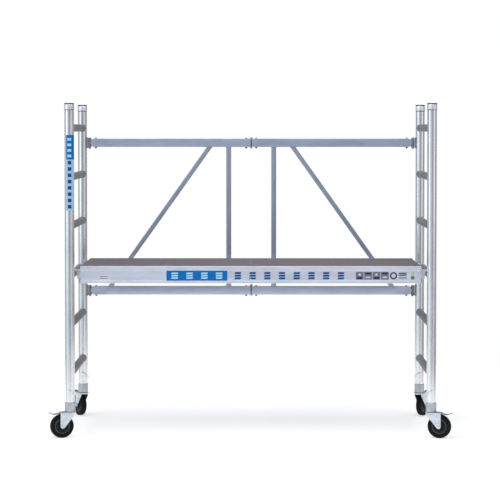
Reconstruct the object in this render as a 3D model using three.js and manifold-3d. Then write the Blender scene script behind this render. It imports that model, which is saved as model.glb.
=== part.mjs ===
// Folding aluminium baker scaffold: two ladder frames on locking casters, a rear brace frame that
// folds on three vertical hinge lines, and a lift-off working platform hooked over the rungs.
// Millimetres. +X runs along the bay, +Y from the open front to the braced rear, +Z up.
// The floor is z = 0, and the origin is the middle of the footprint.

import * as THREE from "three";
import { mergeVertices } from "three/addons/utils/BufferGeometryUtils.js";
import Module from "manifold-3d";

// ---------------------------------------------------------------- driving dimensions

const BAY = 1905; // between the two ladder frames' tube axes
const FRAME_WIDTH = 700; // between the front and rear tube axes
const FOOTPRINT_SHIFT = -26.8; // moves the tubes so that the origin is the middle of the footprint

const UPRIGHT = { radius: 25, bore: 23, foot: 186.8, top: 1757, ringHeight: 26, ringRadius: 26.2 };
const RUNG = { radius: 20, groove: 19, bore: 17.2, ridges: 10, first: 333, pitch: 260, count: 6 };
const PLATFORM_RUNG = 2; // the platform hooks on the third rung
const CAP = { height: 6, radius: 25.6, plugRadius: 22.4, plugDepth: 14 };

const GAP = 0.3; // kept between pieces that touch
const RUNNING = 0.3; // kept round a shaft in its bore

const CASTER = {
  wheelRadius: 62.5,
  wheelWidth: 32,
  trail: 45,
  collarRadius: 28,
  collarBottom: 137,
  crownTop: 135.5,
  sheet: 3,
  legOffset: 21,
  stemRadius: 21.5,
  stemTop: 292,
  kingpinRadius: 7,
};
const AXLE_RADIUS = 6;
const PEDAL = { pivotX: 46, pivotZ: 129.5, pin: 2.6, halfWidth: 15, sheet: 2.6 };
// Each caster's name, the side of the bay, front (-1) or rear (1), and the way its wheel trails.
const CASTERS = [
  { name: "front_left", side: -1, depth: -1, heading: 200 },
  { name: "front_right", side: 1, depth: -1, heading: 340 },
  { name: "rear_left", side: -1, depth: 1, heading: 120 },
  { name: "rear_right", side: 1, depth: 1, heading: 60 },
];
const LOCK_PIN = { radius: 4, hole: 4.5, height: 252, wire: 1.6 };

const BRACE = {
  lowerAxis: 716,
  upperAxis: 1550,
  beamHeight: 48,
  beamDepth: 25,
  wall: 2,
  post: { x: 127, width: 28, depth: 22 },
  diagonal: { topX: 234.5, footX: 794, width: 25, depth: 20 },
  beamStart: 894.5,
  beamEnd: 3,
};
const HINGE = {
  cornerX: 41,
  pinRadius: 5,
  eyeRadius: 9.5,
  eyeHeight: 38,
  earThickness: 5,
  setBack: 21.5,
  knuckleRadius: 8.2,
  segments: 10,
};

const PLATFORM = {
  halfLength: 903,
  halfWidth: 300,
  top: 901.5,
  beamHeight: 91,
  wall: 2.6,
  deckThickness: 9,
  endBeam: { width: 34, height: 50, top: 888 },
};
const CLAW = { thickness: 5.5, width: 34, clearance: 4.2, y: 205, tip: 16, round: 9 };
const CROSS_MEMBERS = [-450, 0, 450];
const HAT_SECTION = { brim: 30, half: 17, depth: 38, sheet: 3 };

// ---------------------------------------------------------------- materials

const metal = (color, roughness) => new THREE.MeshStandardMaterial({ color, roughness, metalness: 1 });
const plain = (color, roughness) => new THREE.MeshStandardMaterial({ color, roughness, metalness: 0 });

const FINISH = {
  tube: metal(0xc9cdd2, 0.35),
  rung: metal(0xb4b7bb, 0.45),
  brace: metal(0xa9b3c2, 0.42),
  beam: metal(0xb5bccb, 0.38),
  cast: metal(0x9ea4ab, 0.55),
  zinc: metal(0xc3c8cc, 0.4),
  collar: metal(0x8d9196, 0.5),
  deck: plain(0x857d7b, 0.75),
  cap: plain(0x17181a, 0.6),
  tyre: plain(0x141416, 0.8),
  rim: plain(0x1d1e20, 0.45),
};

// ---------------------------------------------------------------- solid modelling helpers

const wasm = await Module();
wasm.setup();

/** A closed three.js geometry as a manifold-3d solid. */
function solid(geometry) {
  const bare = geometry.clone();
  bare.deleteAttribute("normal");
  bare.deleteAttribute("uv");
  const merged = mergeVertices(bare, 1e-3);
  return new wasm.Manifold(
    new wasm.Mesh({
      numProp: 3,
      vertProperties: new Float32Array(merged.attributes.position.array),
      triVerts: new Uint32Array(merged.index.array),
    }),
  );
}

/** A manifold-3d solid back as a three.js geometry. */
function geometryOf(body) {
  const mesh = body.getMesh();
  const geometry = new THREE.BufferGeometry();
  geometry.setAttribute("position", new THREE.BufferAttribute(mesh.vertProperties, 3));
  geometry.setIndex(new THREE.BufferAttribute(mesh.triVerts, 1));
  geometry.computeVertexNormals();
  return geometry;
}

/** Joins the first solid with the others, then cuts away the tools. */
function combine(geometries, tools = []) {
  let body = solid(geometries[0]);
  for (const piece of geometries.slice(1)) body = body.add(solid(piece));
  for (const tool of tools) body = body.subtract(solid(tool));
  return geometryOf(body);
}

/** A closed ring or solid turned about Z from [radius, height] pairs, outer side rising. */
function turned(profile, segments) {
  const points = profile.map(([radius, height]) => new THREE.Vector2(radius, height));
  return new THREE.LatheGeometry(points, segments).rotateX(Math.PI / 2);
}

/** A round bar about Z. */
const bar = (radius, low, high, segments) =>
  turned([[0, low], [radius, low], [radius, high], [0, high]], segments);

/** A box between two corners. */
function block(low, high) {
  const size = high.map((value, axis) => value - low[axis]);
  const middle = high.map((value, axis) => (value + low[axis]) / 2);
  return new THREE.BoxGeometry(...size).translate(...middle);
}

/** A Shape's outline pushed along +Z from 0 to the given depth. */
const extruded = (shape, depth, curveSegments = 8) =>
  new THREE.ExtrudeGeometry(shape, { depth, bevelEnabled: false, curveSegments });

/** The same, with the outline drawn in the XZ plane and the depth centred on y. */
const plateXZ = (shape, thickness, y = 0, curveSegments = 8) =>
  extruded(shape, thickness, curveSegments).rotateX(Math.PI / 2).translate(0, y + thickness / 2, 0);

/** A closed polygon as a Shape. */
const polygon = (points) => new THREE.Shape(points.map(([x, y]) => new THREE.Vector2(x, y)));

/** A round polygon with the given number of sides, plain or with a radius for each corner. */
function roundShape(radius, sides, radiusAt = () => radius) {
  const points = [];
  for (let i = 0; i < sides; i++) {
    const turn = (2 * Math.PI * i) / sides;
    points.push([radiusAt(i) * Math.cos(turn), radiusAt(i) * Math.sin(turn)]);
  }
  return polygon(points);
}

const group = new THREE.Group();

/** Adds one named mesh to the model. */
function place(name, geometry, material, parent = group) {
  const mesh = new THREE.Mesh(geometry, material);
  mesh.name = name;
  parent.add(mesh);
  return mesh;
}

// ---------------------------------------------------------------- ladder frames

const UPRIGHT_SEGMENTS = 20;
const rungHeight = (index) => RUNG.first + index * RUNG.pitch;

/** The tool that drills a tube or stem for its locking pin. */
const lockPinHole = () =>
  bar(LOCK_PIN.hole, -40, 40, 8).rotateX(Math.PI / 2).translate(0, 0, LOCK_PIN.height);

/** One upright: a tube with a swaged ring at its mouth and a cross hole for the locking pin. */
function uprightGeometry() {
  const { radius, bore, foot, top, ringHeight, ringRadius } = UPRIGHT;
  const tube = turned(
    [
      [bore, foot],
      [radius, foot],
      [radius, top - ringHeight - 1],
      [ringRadius, top - ringHeight],
      [ringRadius, top - 1],
      [ringRadius - 0.8, top],
      [bore, top],
      [bore, foot],
    ],
    UPRIGHT_SEGMENTS,
  );
  return combine([tube], [lockPinHole()]);
}

/** The black plug in an upright's mouth: a rim on the tube's end over a short plug. */
function capGeometry() {
  const { height, radius, plugRadius, plugDepth } = CAP;
  return turned(
    [
      [0, -plugDepth],
      [plugRadius, -plugDepth],
      [plugRadius, GAP],
      [radius, GAP],
      [radius - 1, height],
      [0, height],
    ],
    UPRIGHT_SEGMENTS,
  );
}

/** A ridged rung between a frame's two uprights, its ends cut to the uprights' round faces. */
function rungGeometry() {
  const outline = roundShape(RUNG.radius, RUNG.ridges * 2, (i) => (i % 2 ? RUNG.groove : RUNG.radius));
  outline.holes.push(roundShape(RUNG.bore, 10));
  const stock = extruded(outline, FRAME_WIDTH).rotateX(Math.PI / 2).translate(0, FRAME_WIDTH / 2, 0);
  const saddles = [-1, 1].map((end) =>
    bar(UPRIGHT.radius + GAP, -40, 40, UPRIGHT_SEGMENTS).translate(0, (end * FRAME_WIDTH) / 2, 0),
  );
  return combine([stock], saddles);
}

const upright = uprightGeometry();
const cap = capGeometry();
const rung = rungGeometry();

for (const [name, side] of [["left", -1], ["right", 1]]) {
  const x = (side * BAY) / 2;
  for (const [end, depth] of [["front", -1], ["rear", 1]]) {
    const y = (depth * FRAME_WIDTH) / 2;
    place(`${end}_${name}_upright`, upright, FINISH.tube).position.set(x, y, 0);
    place(`${end}_${name}_cap`, cap, FINISH.cap).position.set(x, y, UPRIGHT.top);
  }
  for (let i = 0; i < RUNG.count; i++) {
    place(`${name}_rung_${i + 1}`, rung, FINISH.rung).position.set(x, 0, rungHeight(i));
  }
}

// ---------------------------------------------------------------- casters

const CASTER_SEGMENTS = 16;
const WHEEL_SEGMENTS = 18;

/** The stem that plugs into the tube, with its collar, and the headed kingpin the fork turns on. */
function stemGeometry() {
  const { collarRadius, collarBottom, stemRadius, stemTop, kingpinRadius, crownTop, sheet } = CASTER;
  const crownUnder = crownTop - sheet;
  const body = turned(
    [
      [0, crownUnder - 6],
      [kingpinRadius + 5, crownUnder - 5],
      [kingpinRadius + 5, crownUnder - 1],
      [kingpinRadius, crownUnder - 1],
      [kingpinRadius, collarBottom],
      [collarRadius, collarBottom],
      [collarRadius, UPRIGHT.foot - GAP],
      [stemRadius, UPRIGHT.foot - GAP],
      [stemRadius, stemTop],
      [0, stemTop],
    ],
    CASTER_SEGMENTS,
  );
  return combine([body], [lockPinHole()]);
}

/** A swivel fork pressed from sheet: a dished crown, two tapering legs and the axle bolt across them. */
function forkGeometry() {
  const { trail, wheelRadius, crownTop, sheet, legOffset, kingpinRadius } = CASTER;
  const legTop = crownTop - sheet / 2;

  const crownOutline = new THREE.Shape();
  crownOutline.moveTo(trail + 12, -legOffset);
  crownOutline.lineTo(trail + 12, legOffset);
  crownOutline.lineTo(14, legOffset + 8);
  crownOutline.absarc(0, 0, 32, Math.PI * 0.33, Math.PI * 1.67, false);
  crownOutline.lineTo(14, -legOffset - 8);
  const crown = extruded(crownOutline, sheet, 7).translate(0, 0, crownTop - sheet);

  const legOutline = new THREE.Shape();
  legOutline.moveTo(-17, legTop);
  legOutline.lineTo(-17, legTop - 16);
  legOutline.lineTo(trail - 9, wheelRadius - 8);
  legOutline.absarc(trail, wheelRadius, 12, Math.PI * 1.22, Math.PI * 2, false);
  legOutline.lineTo(trail + 12, legTop);
  const legs = [-1, 1].map((side) => plateXZ(legOutline, sheet, side * (legOffset + sheet / 2 - 1.5), 5));

  const axle = bar(AXLE_RADIUS, -legOffset - 2, legOffset + 2, 10);
  const axleAt = (piece) => piece.rotateX(Math.PI / 2).translate(trail, 0, wheelRadius);
  const heads = [-1, 1].map((side) => {
    const near = side * (legOffset - 1);
    const far = side * (legOffset + 8);
    return axleAt(bar(9, Math.min(near, far), Math.max(near, far), 6));
  });

  const kingpinHole = bar(kingpinRadius + RUNNING, crownTop - 20, crownTop + 20, CASTER_SEGMENTS);
  const pivotHoles = bar(PEDAL.pin + RUNNING, -60, 60, 8)
    .rotateX(Math.PI / 2)
    .translate(PEDAL.pivotX, 0, PEDAL.pivotZ);
  return combine([crown, ...legs, axleAt(axle), ...heads], [kingpinHole, pivotHoles]);
}

/** The brake pedal: a bent strip on a cross pin over the wheel, its tip kicked up for the toe. */
function pedalGeometry() {
  const { pivotX, pivotZ, pin, halfWidth, sheet } = PEDAL;
  const top = [[52, 131.2], [63, 130.2], [84, 127.6], [96, 129.0], [107, 134.6], [115, 136.2]];
  const underside = top.map(([x, z]) => [x, z - sheet]).reverse();
  const strip = plateXZ(polygon([[pivotX, 131.2], ...top, ...underside, [pivotX, 128.2]]), halfWidth * 2);
  const shaft = bar(pin, -CASTER.legOffset - 1, CASTER.legOffset + 1, 8)
    .rotateX(Math.PI / 2)
    .translate(pivotX, 0, pivotZ);
  return combine([strip, shaft]);
}

/** A solid rubber tyre with rounded shoulders, turned about its axle and laid along Y. */
function tyreGeometry() {
  const { wheelRadius, wheelWidth } = CASTER;
  const half = wheelWidth / 2;
  return turned(
    [
      [47, -half + 3],
      [55, -half],
      [wheelRadius, -half + 6],
      [wheelRadius, half - 6],
      [55, half],
      [47, half - 3],
      [47, -half + 3],
    ],
    WHEEL_SEGMENTS,
  ).rotateX(Math.PI / 2);
}

/** The moulded wheel centre: a stepped dish each side, a long hub and the axle's bore. */
function rimGeometry() {
  const half = CASTER.wheelWidth / 2;
  const face = [[46.7, half - 4], [42, half - 2.5], [40, half - 7], [18, half - 7.5], [15, half + 1.5]];
  const bore = AXLE_RADIUS + RUNNING;
  const near = face.map(([radius, height]) => [radius, -height]).reverse();
  const profile = [[bore, -half - 1.5], ...near, ...face, [bore, half + 1.5], [bore, -half - 1.5]];
  return turned(profile, WHEEL_SEGMENTS).rotateX(Math.PI / 2);
}

/** The locking pin through tube and stem, with a spring-wire bow lying back along the tube's side. */
function lockPinGeometry() {
  const { radius, wire } = LOCK_PIN;
  const front = -UPRIGHT.radius - 7;
  const shank = bar(radius, -UPRIGHT.radius - 8, UPRIGHT.radius + 9, 8).rotateX(Math.PI / 2);
  const head = bar(6, UPRIGHT.radius + 2, UPRIGHT.radius + 9, 8).rotateX(Math.PI / 2);
  const path = new THREE.CatmullRomCurve3([
    new THREE.Vector3(0, front, 0),
    new THREE.Vector3(-20, front - 2, -6),
    new THREE.Vector3(-30, -20, -18),
    new THREE.Vector3(-30, 2, -32),
    new THREE.Vector3(-27.5, 16, -42),
  ]);
  const section = roundShape(wire, 6);
  const bow = new THREE.ExtrudeGeometry(section, { steps: 9, extrudePath: path, bevelEnabled: false });
  return combine([shank, head, bow]);
}

const stem = stemGeometry();
const fork = forkGeometry();
const pedal = pedalGeometry();
const tyre = tyreGeometry();
const rim = rimGeometry();
const lockPin = lockPinGeometry();

for (const { name, side, depth, heading } of CASTERS) {
  const x = (side * BAY) / 2;
  const y = (depth * FRAME_WIDTH) / 2;
  place(`${name}_caster_stem`, stem, FINISH.collar).position.set(x, y, 0);
  const pin = place(`${name}_locking_pin`, lockPin, FINISH.zinc);
  pin.position.set(x, y, LOCK_PIN.height);
  pin.scale.x = side;

  const swivel = new THREE.Group();
  swivel.position.set(x, y, 0);
  swivel.rotation.z = THREE.MathUtils.degToRad(heading);
  group.add(swivel);
  place(`${name}_fork`, fork, FINISH.zinc, swivel);
  place(`${name}_brake_pedal`, pedal, FINISH.zinc, swivel);
  place(`${name}_tyre`, tyre, FINISH.tyre, swivel).position.set(CASTER.trail, 0, CASTER.wheelRadius);
  place(`${name}_wheel_centre`, rim, FINISH.rim, swivel).position.set(CASTER.trail, 0, CASTER.wheelRadius);
}

// ---------------------------------------------------------------- folding rear brace

const BRACE_Y = FRAME_WIDTH / 2;
const CORNER_PIN_X = BAY / 2 - HINGE.cornerX;
const BEAM_AXES = [BRACE.lowerAxis, BRACE.upperAxis];

/** A rectangular tube along X with open ends, centred on a height. */
function beamStock(z) {
  const { beamHeight, beamDepth, wall, beamStart, beamEnd } = BRACE;
  const [deep, tall] = [beamDepth / 2, beamHeight / 2];
  const outer = block([beamEnd, -deep, z - tall], [beamStart, deep, z + tall]);
  const inner = block(
    [beamEnd - 5, -deep + wall, z - tall + wall],
    [beamStart + 5, deep - wall, z + tall - wall],
  );
  return { outer, inner };
}

/** The eye that turns on a corner pin, with the tongue that runs into the beam. */
function cornerEye(z) {
  const { eyeRadius, eyeHeight, segments } = HINGE;
  const half = eyeHeight / 2;
  const eye = bar(eyeRadius, z - half, z + half, segments).translate(CORNER_PIN_X, 0, 0);
  const tongue = block([BRACE.beamStart - 45, -6, z - half], [CORNER_PIN_X, 6, z + half]);
  const web = block([BRACE.beamStart - 45, -6, z - 22.5], [BRACE.beamStart - 12, 6, z + 22.5]);
  return [eye, tongue, web];
}

/** Knuckles on the rear face beside the centre pin: one in the middle, or one at each end. */
function knuckles(z, spans) {
  const { setBack, knuckleRadius, segments } = HINGE;
  const face = BRACE.beamDepth / 2;
  return spans.flatMap(([low, high]) => [
    bar(knuckleRadius, z + low, z + high, segments).translate(0, setBack, 0),
    block([1.5, face - 0.5, z + low], [40, face + 3.5, z + high]),
    block([0, face + 0.5, z + low], [9, setBack + 2, z + high]),
  ]);
}

/** One half of the brace, drawn on the +X side: two beams, a post, a diagonal and the hinge eyes. */
function braceGeometry(knuckleSpans) {
  const { lowerAxis, upperAxis, beamHeight, post, diagonal } = BRACE;
  const low = lowerAxis + beamHeight / 2;
  const high = upperAxis - beamHeight / 2;
  const stocks = BEAM_AXES.map(beamStock);
  const upright = block(
    [post.x - post.width / 2, -post.depth / 2, low - 1],
    [post.x + post.width / 2, post.depth / 2, high + 1],
  );
  const run = new THREE.Vector2(diagonal.footX - diagonal.topX, low - high);
  const half = (diagonal.width / 2) * (run.length() / Math.abs(run.y));
  const strut = plateXZ(
    polygon([
      [diagonal.topX - half, high + 1],
      [diagonal.footX - half, low - 1],
      [diagonal.footX + half, low - 1],
      [diagonal.topX + half, high + 1],
    ]),
    diagonal.depth,
  );
  let body = solid(upright).add(solid(strut));
  for (const { outer } of stocks) body = body.add(solid(outer));
  for (const { inner } of stocks) body = body.subtract(solid(inner));
  for (const z of BEAM_AXES) {
    for (const piece of [...cornerEye(z), ...knuckles(z, knuckleSpans)]) body = body.add(solid(piece));
    for (const [x, y] of [[CORNER_PIN_X, 0], [0, HINGE.setBack]]) {
      const hole = bar(HINGE.pinRadius + RUNNING, z - 60, z + 60, HINGE.segments).translate(x, y, 0);
      body = body.subtract(solid(hole));
    }
  }
  return geometryOf(body);
}

/** The bracket welded on a rear upright: a saddle, two ears and the headed pin between them. */
function cornerBracket() {
  const { cornerX, pinRadius, eyeRadius, eyeHeight, earThickness, segments } = HINGE;
  const earGap = eyeHeight / 2 + 0.8;
  const saddle = combine(
    [block([14, -15, -earGap - earThickness - 6], [29, 15, earGap + earThickness + 6])],
    [bar(UPRIGHT.radius + GAP, -80, 80, UPRIGHT_SEGMENTS)],
  );
  const earOutline = new THREE.Shape();
  earOutline.moveTo(26, -13);
  earOutline.lineTo(cornerX, -eyeRadius);
  earOutline.absarc(cornerX, 0, eyeRadius, -Math.PI / 2, Math.PI / 2, false);
  earOutline.lineTo(26, 13);
  const ears = [earGap, -earGap - earThickness].map((z) =>
    extruded(earOutline, earThickness, 5).translate(0, 0, z),
  );
  const reach = earGap + earThickness;
  const pin = bar(pinRadius, -reach - 7, reach + 3, segments).translate(cornerX, 0, 0);
  const head = bar(pinRadius + 3, reach - 0.5, reach + 5, segments).translate(cornerX, 0, 0);
  const nut = bar(pinRadius + 3.4, -reach - 6, -reach + 0.5, 6).translate(cornerX, 0, 0);
  return combine([saddle, ...ears, pin, head, nut]);
}

/** The centre hinge's pin, headed at the top and riveted over at the foot. */
function centrePin() {
  const { pinRadius, knuckleRadius, segments } = HINGE;
  return turned(
    [
      [0, -33],
      [knuckleRadius - 0.8, -33],
      [knuckleRadius - 0.8, -25],
      [pinRadius, -25],
      [pinRadius, 25],
      [knuckleRadius, 25],
      [knuckleRadius, 30],
      [pinRadius, 33],
      [0, 33],
    ],
    segments,
  );
}

const MIDDLE_KNUCKLE = [[-7.5, 7.5]];
const OUTER_KNUCKLES = [[-24, -8.2], [8.2, 24]];
const braces = { left: braceGeometry(OUTER_KNUCKLES), right: braceGeometry(MIDDLE_KNUCKLE) };
const bracket = cornerBracket();
const hingePin = centrePin();

for (const [name, side] of [["left", -1], ["right", 1]]) {
  const half = place(`${name}_brace_frame`, braces[name], FINISH.brace);
  half.position.y = BRACE_Y;
  half.scale.x = side;
  for (const [level, z] of [["lower", BRACE.lowerAxis], ["upper", BRACE.upperAxis]]) {
    const lug = place(`${name}_${level}_hinge_bracket`, bracket, FINISH.cast);
    lug.position.set((side * BAY) / 2, BRACE_Y, z);
    lug.scale.x = -side;
  }
}
for (const [level, z] of [["lower", BRACE.lowerAxis], ["upper", BRACE.upperAxis]]) {
  place(`${level}_centre_hinge_pin`, hingePin, FINISH.zinc).position.set(0, BRACE_Y + HINGE.setBack, z);
}

// ---------------------------------------------------------------- working platform

const { halfLength, halfWidth, top: DECK_TOP, wall: BEAM_WALL, deckThickness } = PLATFORM;
const BEAM_FOOT = DECK_TOP - PLATFORM.beamHeight;
const LEDGE = DECK_TOP - deckThickness - GAP;

/** The side beam's section, outer face at +X: two beads, the deck's ledge and a foot flange. */
function sideBeamShape() {
  const w = BEAM_WALL;
  const outer = halfWidth;
  const shape = new THREE.Shape();
  shape.moveTo(outer - 30, BEAM_FOOT);
  shape.lineTo(outer - 2, BEAM_FOOT);
  shape.quadraticCurveTo(outer, BEAM_FOOT, outer, BEAM_FOOT + 2);
  shape.lineTo(outer, BEAM_FOOT + 11);
  shape.lineTo(outer - 1.6, BEAM_FOOT + 13);
  shape.lineTo(outer - 1.6, DECK_TOP - 23);
  shape.lineTo(outer - 0.4, DECK_TOP - 21.5);
  shape.lineTo(outer - 0.4, DECK_TOP - 17);
  shape.lineTo(outer - 1.6, DECK_TOP - 15.5);
  shape.lineTo(outer, DECK_TOP - 13.5);
  shape.lineTo(outer, DECK_TOP - 3.5);
  shape.quadraticCurveTo(outer, DECK_TOP, outer - 3.5, DECK_TOP);
  shape.lineTo(outer - 8, DECK_TOP);
  shape.lineTo(outer - 8, LEDGE);
  shape.lineTo(outer - 30, LEDGE);
  shape.lineTo(outer - 30, LEDGE - w);
  shape.lineTo(outer - 1.6 - w, LEDGE - w);
  shape.lineTo(outer - 1.6 - w, BEAM_FOOT + w);
  shape.lineTo(outer - 30, BEAM_FOOT + w);
  return shape;
}

/** The rear side beam, along the platform's whole length with its outer face looking along +Y. */
function sideBeamGeometry() {
  const along = extruded(sideBeamShape(), halfLength * 2, 3);
  return along.rotateX(Math.PI / 2).rotateZ(Math.PI / 2).translate(-halfLength, 0, 0);
}

/** The hook claw's outline in XZ about the rung's axis: a square mouth, open below, in a round back. */
function clawShape(root) {
  const inner = RUNG.radius + CLAW.clearance;
  const outer = inner + CLAW.thickness;
  const roof = RUNG.radius + GAP;
  const { tip, round } = CLAW;
  const shape = new THREE.Shape();
  shape.moveTo(root, roof + CLAW.thickness - 2);
  shape.lineTo(-6, roof + CLAW.thickness);
  shape.lineTo(outer - round, roof + CLAW.thickness);
  shape.absarc(outer - round, roof + CLAW.thickness - round, round, Math.PI / 2, 0, true);
  shape.lineTo(outer, -tip);
  shape.lineTo(inner, -tip);
  shape.lineTo(inner, roof);
  shape.lineTo(-inner, roof);
  shape.lineTo(-inner, -tip - 12);
  shape.lineTo(root, -tip - 12);
  return shape;
}

/** The channel across the platform's end with its two claws, drawn for the +X end. */
function endBeamGeometry() {
  const { endBeam } = PLATFORM;
  const inside = halfWidth - BEAM_WALL - 1.6 - GAP;
  const back = halfLength - endBeam.width;
  const low = endBeam.top - endBeam.height;
  const outer = block([back, -inside, low], [halfLength, inside, endBeam.top]);
  const hollow = block([back - 1, -inside - 5, low + 3], [halfLength - 3, inside + 5, endBeam.top - 3]);
  const rungX = BAY / 2;
  const outline = clawShape(halfLength - 1 - rungX);
  let body = solid(outer).subtract(solid(hollow));
  for (const side of [-1, 1]) {
    const claw = plateXZ(outline, CLAW.width, side * CLAW.y, 4);
    body = body.add(solid(claw.translate(rungX, 0, rungHeight(PLATFORM_RUNG))));
  }
  return geometryOf(body);
}

/** A hat section across the platform, between the side beams' webs, that the deck lies on. */
function crossMemberGeometry() {
  const inside = halfWidth - BEAM_WALL - 1.6 - GAP;
  const high = LEDGE - BEAM_WALL - GAP;
  const { brim, half, depth, sheet } = HAT_SECTION;
  const right = [[half, high - depth], [half, high - sheet], [brim, high - sheet], [brim, high]];
  const left = right.map(([x, z]) => [-x, z]).reverse();
  const [inner, under] = [half - sheet, high - depth + sheet];
  const outline = polygon([...right, ...left]);
  const over = high - sheet;
  outline.holes.push(polygon([[-inner, under], [inner, under], [inner, over], [-inner, over]]));
  return plateXZ(outline, inside * 2);
}

const sideBeam = sideBeamGeometry();
const endBeam = endBeamGeometry();
const crossMember = crossMemberGeometry();
const deckY = halfWidth - 8 - GAP;
const deck = block([-halfLength, -deckY, DECK_TOP - deckThickness], [halfLength, deckY, DECK_TOP - 0.4]);

place("platform_deck", deck, FINISH.deck);
place("platform_front_beam", sideBeam, FINISH.beam).scale.y = -1;
place("platform_rear_beam", sideBeam, FINISH.beam);
place("platform_right_hook_beam", endBeam, FINISH.cast);
place("platform_left_hook_beam", endBeam, FINISH.cast).scale.x = -1;
CROSS_MEMBERS.forEach((x, i) => {
  place(`platform_cross_member_${i + 1}`, crossMember, FINISH.cast).position.x = x;
});

for (const child of group.children) child.position.y += FOOTPRINT_SHIFT;

export default group;
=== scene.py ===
"""Folding aluminium baker scaffold: its finished pieces, materials, light and camera.

Everything is in metres in the model's own frame: +X along the bay, +Y from the open front to the
braced rear, +Z up, with the floor at z = 0.
"""

import logging
import math
from collections.abc import Callable, Iterable, Sequence
from dataclasses import dataclass
from enum import Enum

import bmesh
import bpy
from mathutils import Euler, Matrix, Vector


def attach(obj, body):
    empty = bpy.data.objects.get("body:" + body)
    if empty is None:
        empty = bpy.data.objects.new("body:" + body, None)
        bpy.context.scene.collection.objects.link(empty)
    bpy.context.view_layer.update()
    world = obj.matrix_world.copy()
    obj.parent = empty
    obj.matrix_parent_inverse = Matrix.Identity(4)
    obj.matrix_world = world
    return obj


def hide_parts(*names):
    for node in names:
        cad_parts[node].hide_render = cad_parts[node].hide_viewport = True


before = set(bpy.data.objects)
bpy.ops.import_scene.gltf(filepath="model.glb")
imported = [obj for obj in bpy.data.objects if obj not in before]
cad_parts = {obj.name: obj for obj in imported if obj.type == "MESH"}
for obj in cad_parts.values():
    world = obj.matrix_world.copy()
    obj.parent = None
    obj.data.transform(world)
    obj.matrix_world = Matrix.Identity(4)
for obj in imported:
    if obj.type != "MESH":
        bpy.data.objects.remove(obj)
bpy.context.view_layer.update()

log = logging.getLogger("scaffold")

Flat = tuple[float, float]
Point = tuple[float, float, float]
Colour = tuple[float, float, float]
Socket = bpy.types.NodeSocket


class Slot(Enum):
    """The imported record's material slots."""

    TUBE = "tube"
    RUNG = "rung"
    BRACE = "brace"
    BEAM = "beam"
    CAST = "cast"
    ZINC = "zinc"
    COLLAR = "collar"
    DECK = "deck"
    CAP = "cap"
    TYRE = "tyre"
    RIM = "rim"


class Quarter(Enum):
    """A named direction from the scaffold's middle: its word in piece names and its sign."""

    @property
    def label(self) -> str:
        """The word in piece names."""
        return self.value[0]

    @property
    def sign(self) -> int:
        """-1 or 1 along the direction's axis."""
        return self.value[1]


class Side(Quarter):
    """One end of the bay, along X."""

    LEFT = ("left", -1)
    RIGHT = ("right", 1)


class End(Quarter):
    """The open front or the braced rear, along Y."""

    FRONT = ("front", -1)
    REAR = ("rear", 1)


# ---------------------------------------------------------------- outlines


def circle(radius: float, sides: int, centre: Flat = (0.0, 0.0)) -> list[Flat]:
    """A circle as a polygon.

    Args:
        radius: the circle's radius.
        sides: how many sides the polygon has.
        centre: the circle's middle.

    Returns:
        The polygon's corners, anticlockwise.
    """
    return arc(centre, radius, 0.0, 360.0 * (sides - 1) / sides, sides - 1)


def arc(centre: Flat, radius: float, start: float, end: float, steps: int) -> list[Flat]:
    """Points along a circular arc.

    Args:
        centre: the arc's centre.
        radius: its radius.
        start: the first point's angle in degrees.
        end: the last point's angle in degrees.
        steps: how many equal steps lie between them.

    Returns:
        The steps + 1 points in order.
    """
    turns = [math.radians(start + (end - start) * i / steps) for i in range(steps + 1)]
    return [(centre[0] + radius * math.cos(t), centre[1] + radius * math.sin(t)) for t in turns]


def rounded_rectangle(width: float, height: float, radius: float, steps: int = 4) -> list[Flat]:
    """A rectangle about the origin with round corners.

    Args:
        width: its size along the first axis.
        height: its size along the second axis.
        radius: the corner radius.
        steps: arc steps for each corner.

    Returns:
        The outline, anticlockwise from the first corner.
    """
    x, y = width / 2 - radius, height / 2 - radius
    outline: list[Flat] = []
    for quarter, (sx, sy) in enumerate([(1, 1), (-1, 1), (-1, -1), (1, -1)]):
        outline += arc((sx * x, sy * y), radius, 90.0 * quarter, 90.0 * (quarter + 1), steps)
    return outline


def softened(outline: Sequence[Flat], radius: float, steps: int = 3) -> list[Flat]:
    """An outline with every corner eased by a short curve.

    Args:
        outline: the sharp corners in order.
        radius: how far from each corner the curve starts, at most 45% of an edge.
        steps: curve steps for each corner.

    Returns:
        The eased outline.
    """
    corners = [Vector(p) for p in outline]
    eased: list[Flat] = []
    for i, corner in enumerate(corners):
        ends = []
        for other in (corners[i - 1], corners[(i + 1) % len(corners)]):
            way = other - corner
            ends.append(corner + way * min(radius / max(way.length, 1e-9), 0.45))
        for k in range(steps + 1):
            t = k / steps
            point = ends[0] * (1 - t) ** 2 + corner * (2 * t * (1 - t)) + ends[1] * t * t
            eased.append((point.x, point.y))
    return eased


def densified(outline: Sequence[Flat], step: float) -> list[Flat]:
    """The same outline with extra points, so that no edge is longer than a step.

    Args:
        outline: the corners in order.
        step: the longest edge allowed.

    Returns:
        The outline with its extra points.
    """
    dense: list[Flat] = []
    for (ax, ay), (bx, by) in zip(outline, [*outline[1:], outline[0]]):
        parts = max(1, math.ceil(math.hypot(bx - ax, by - ay) / step))
        dense += [(ax + (bx - ax) * k / parts, ay + (by - ay) * k / parts) for k in range(parts)]
    return dense


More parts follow.
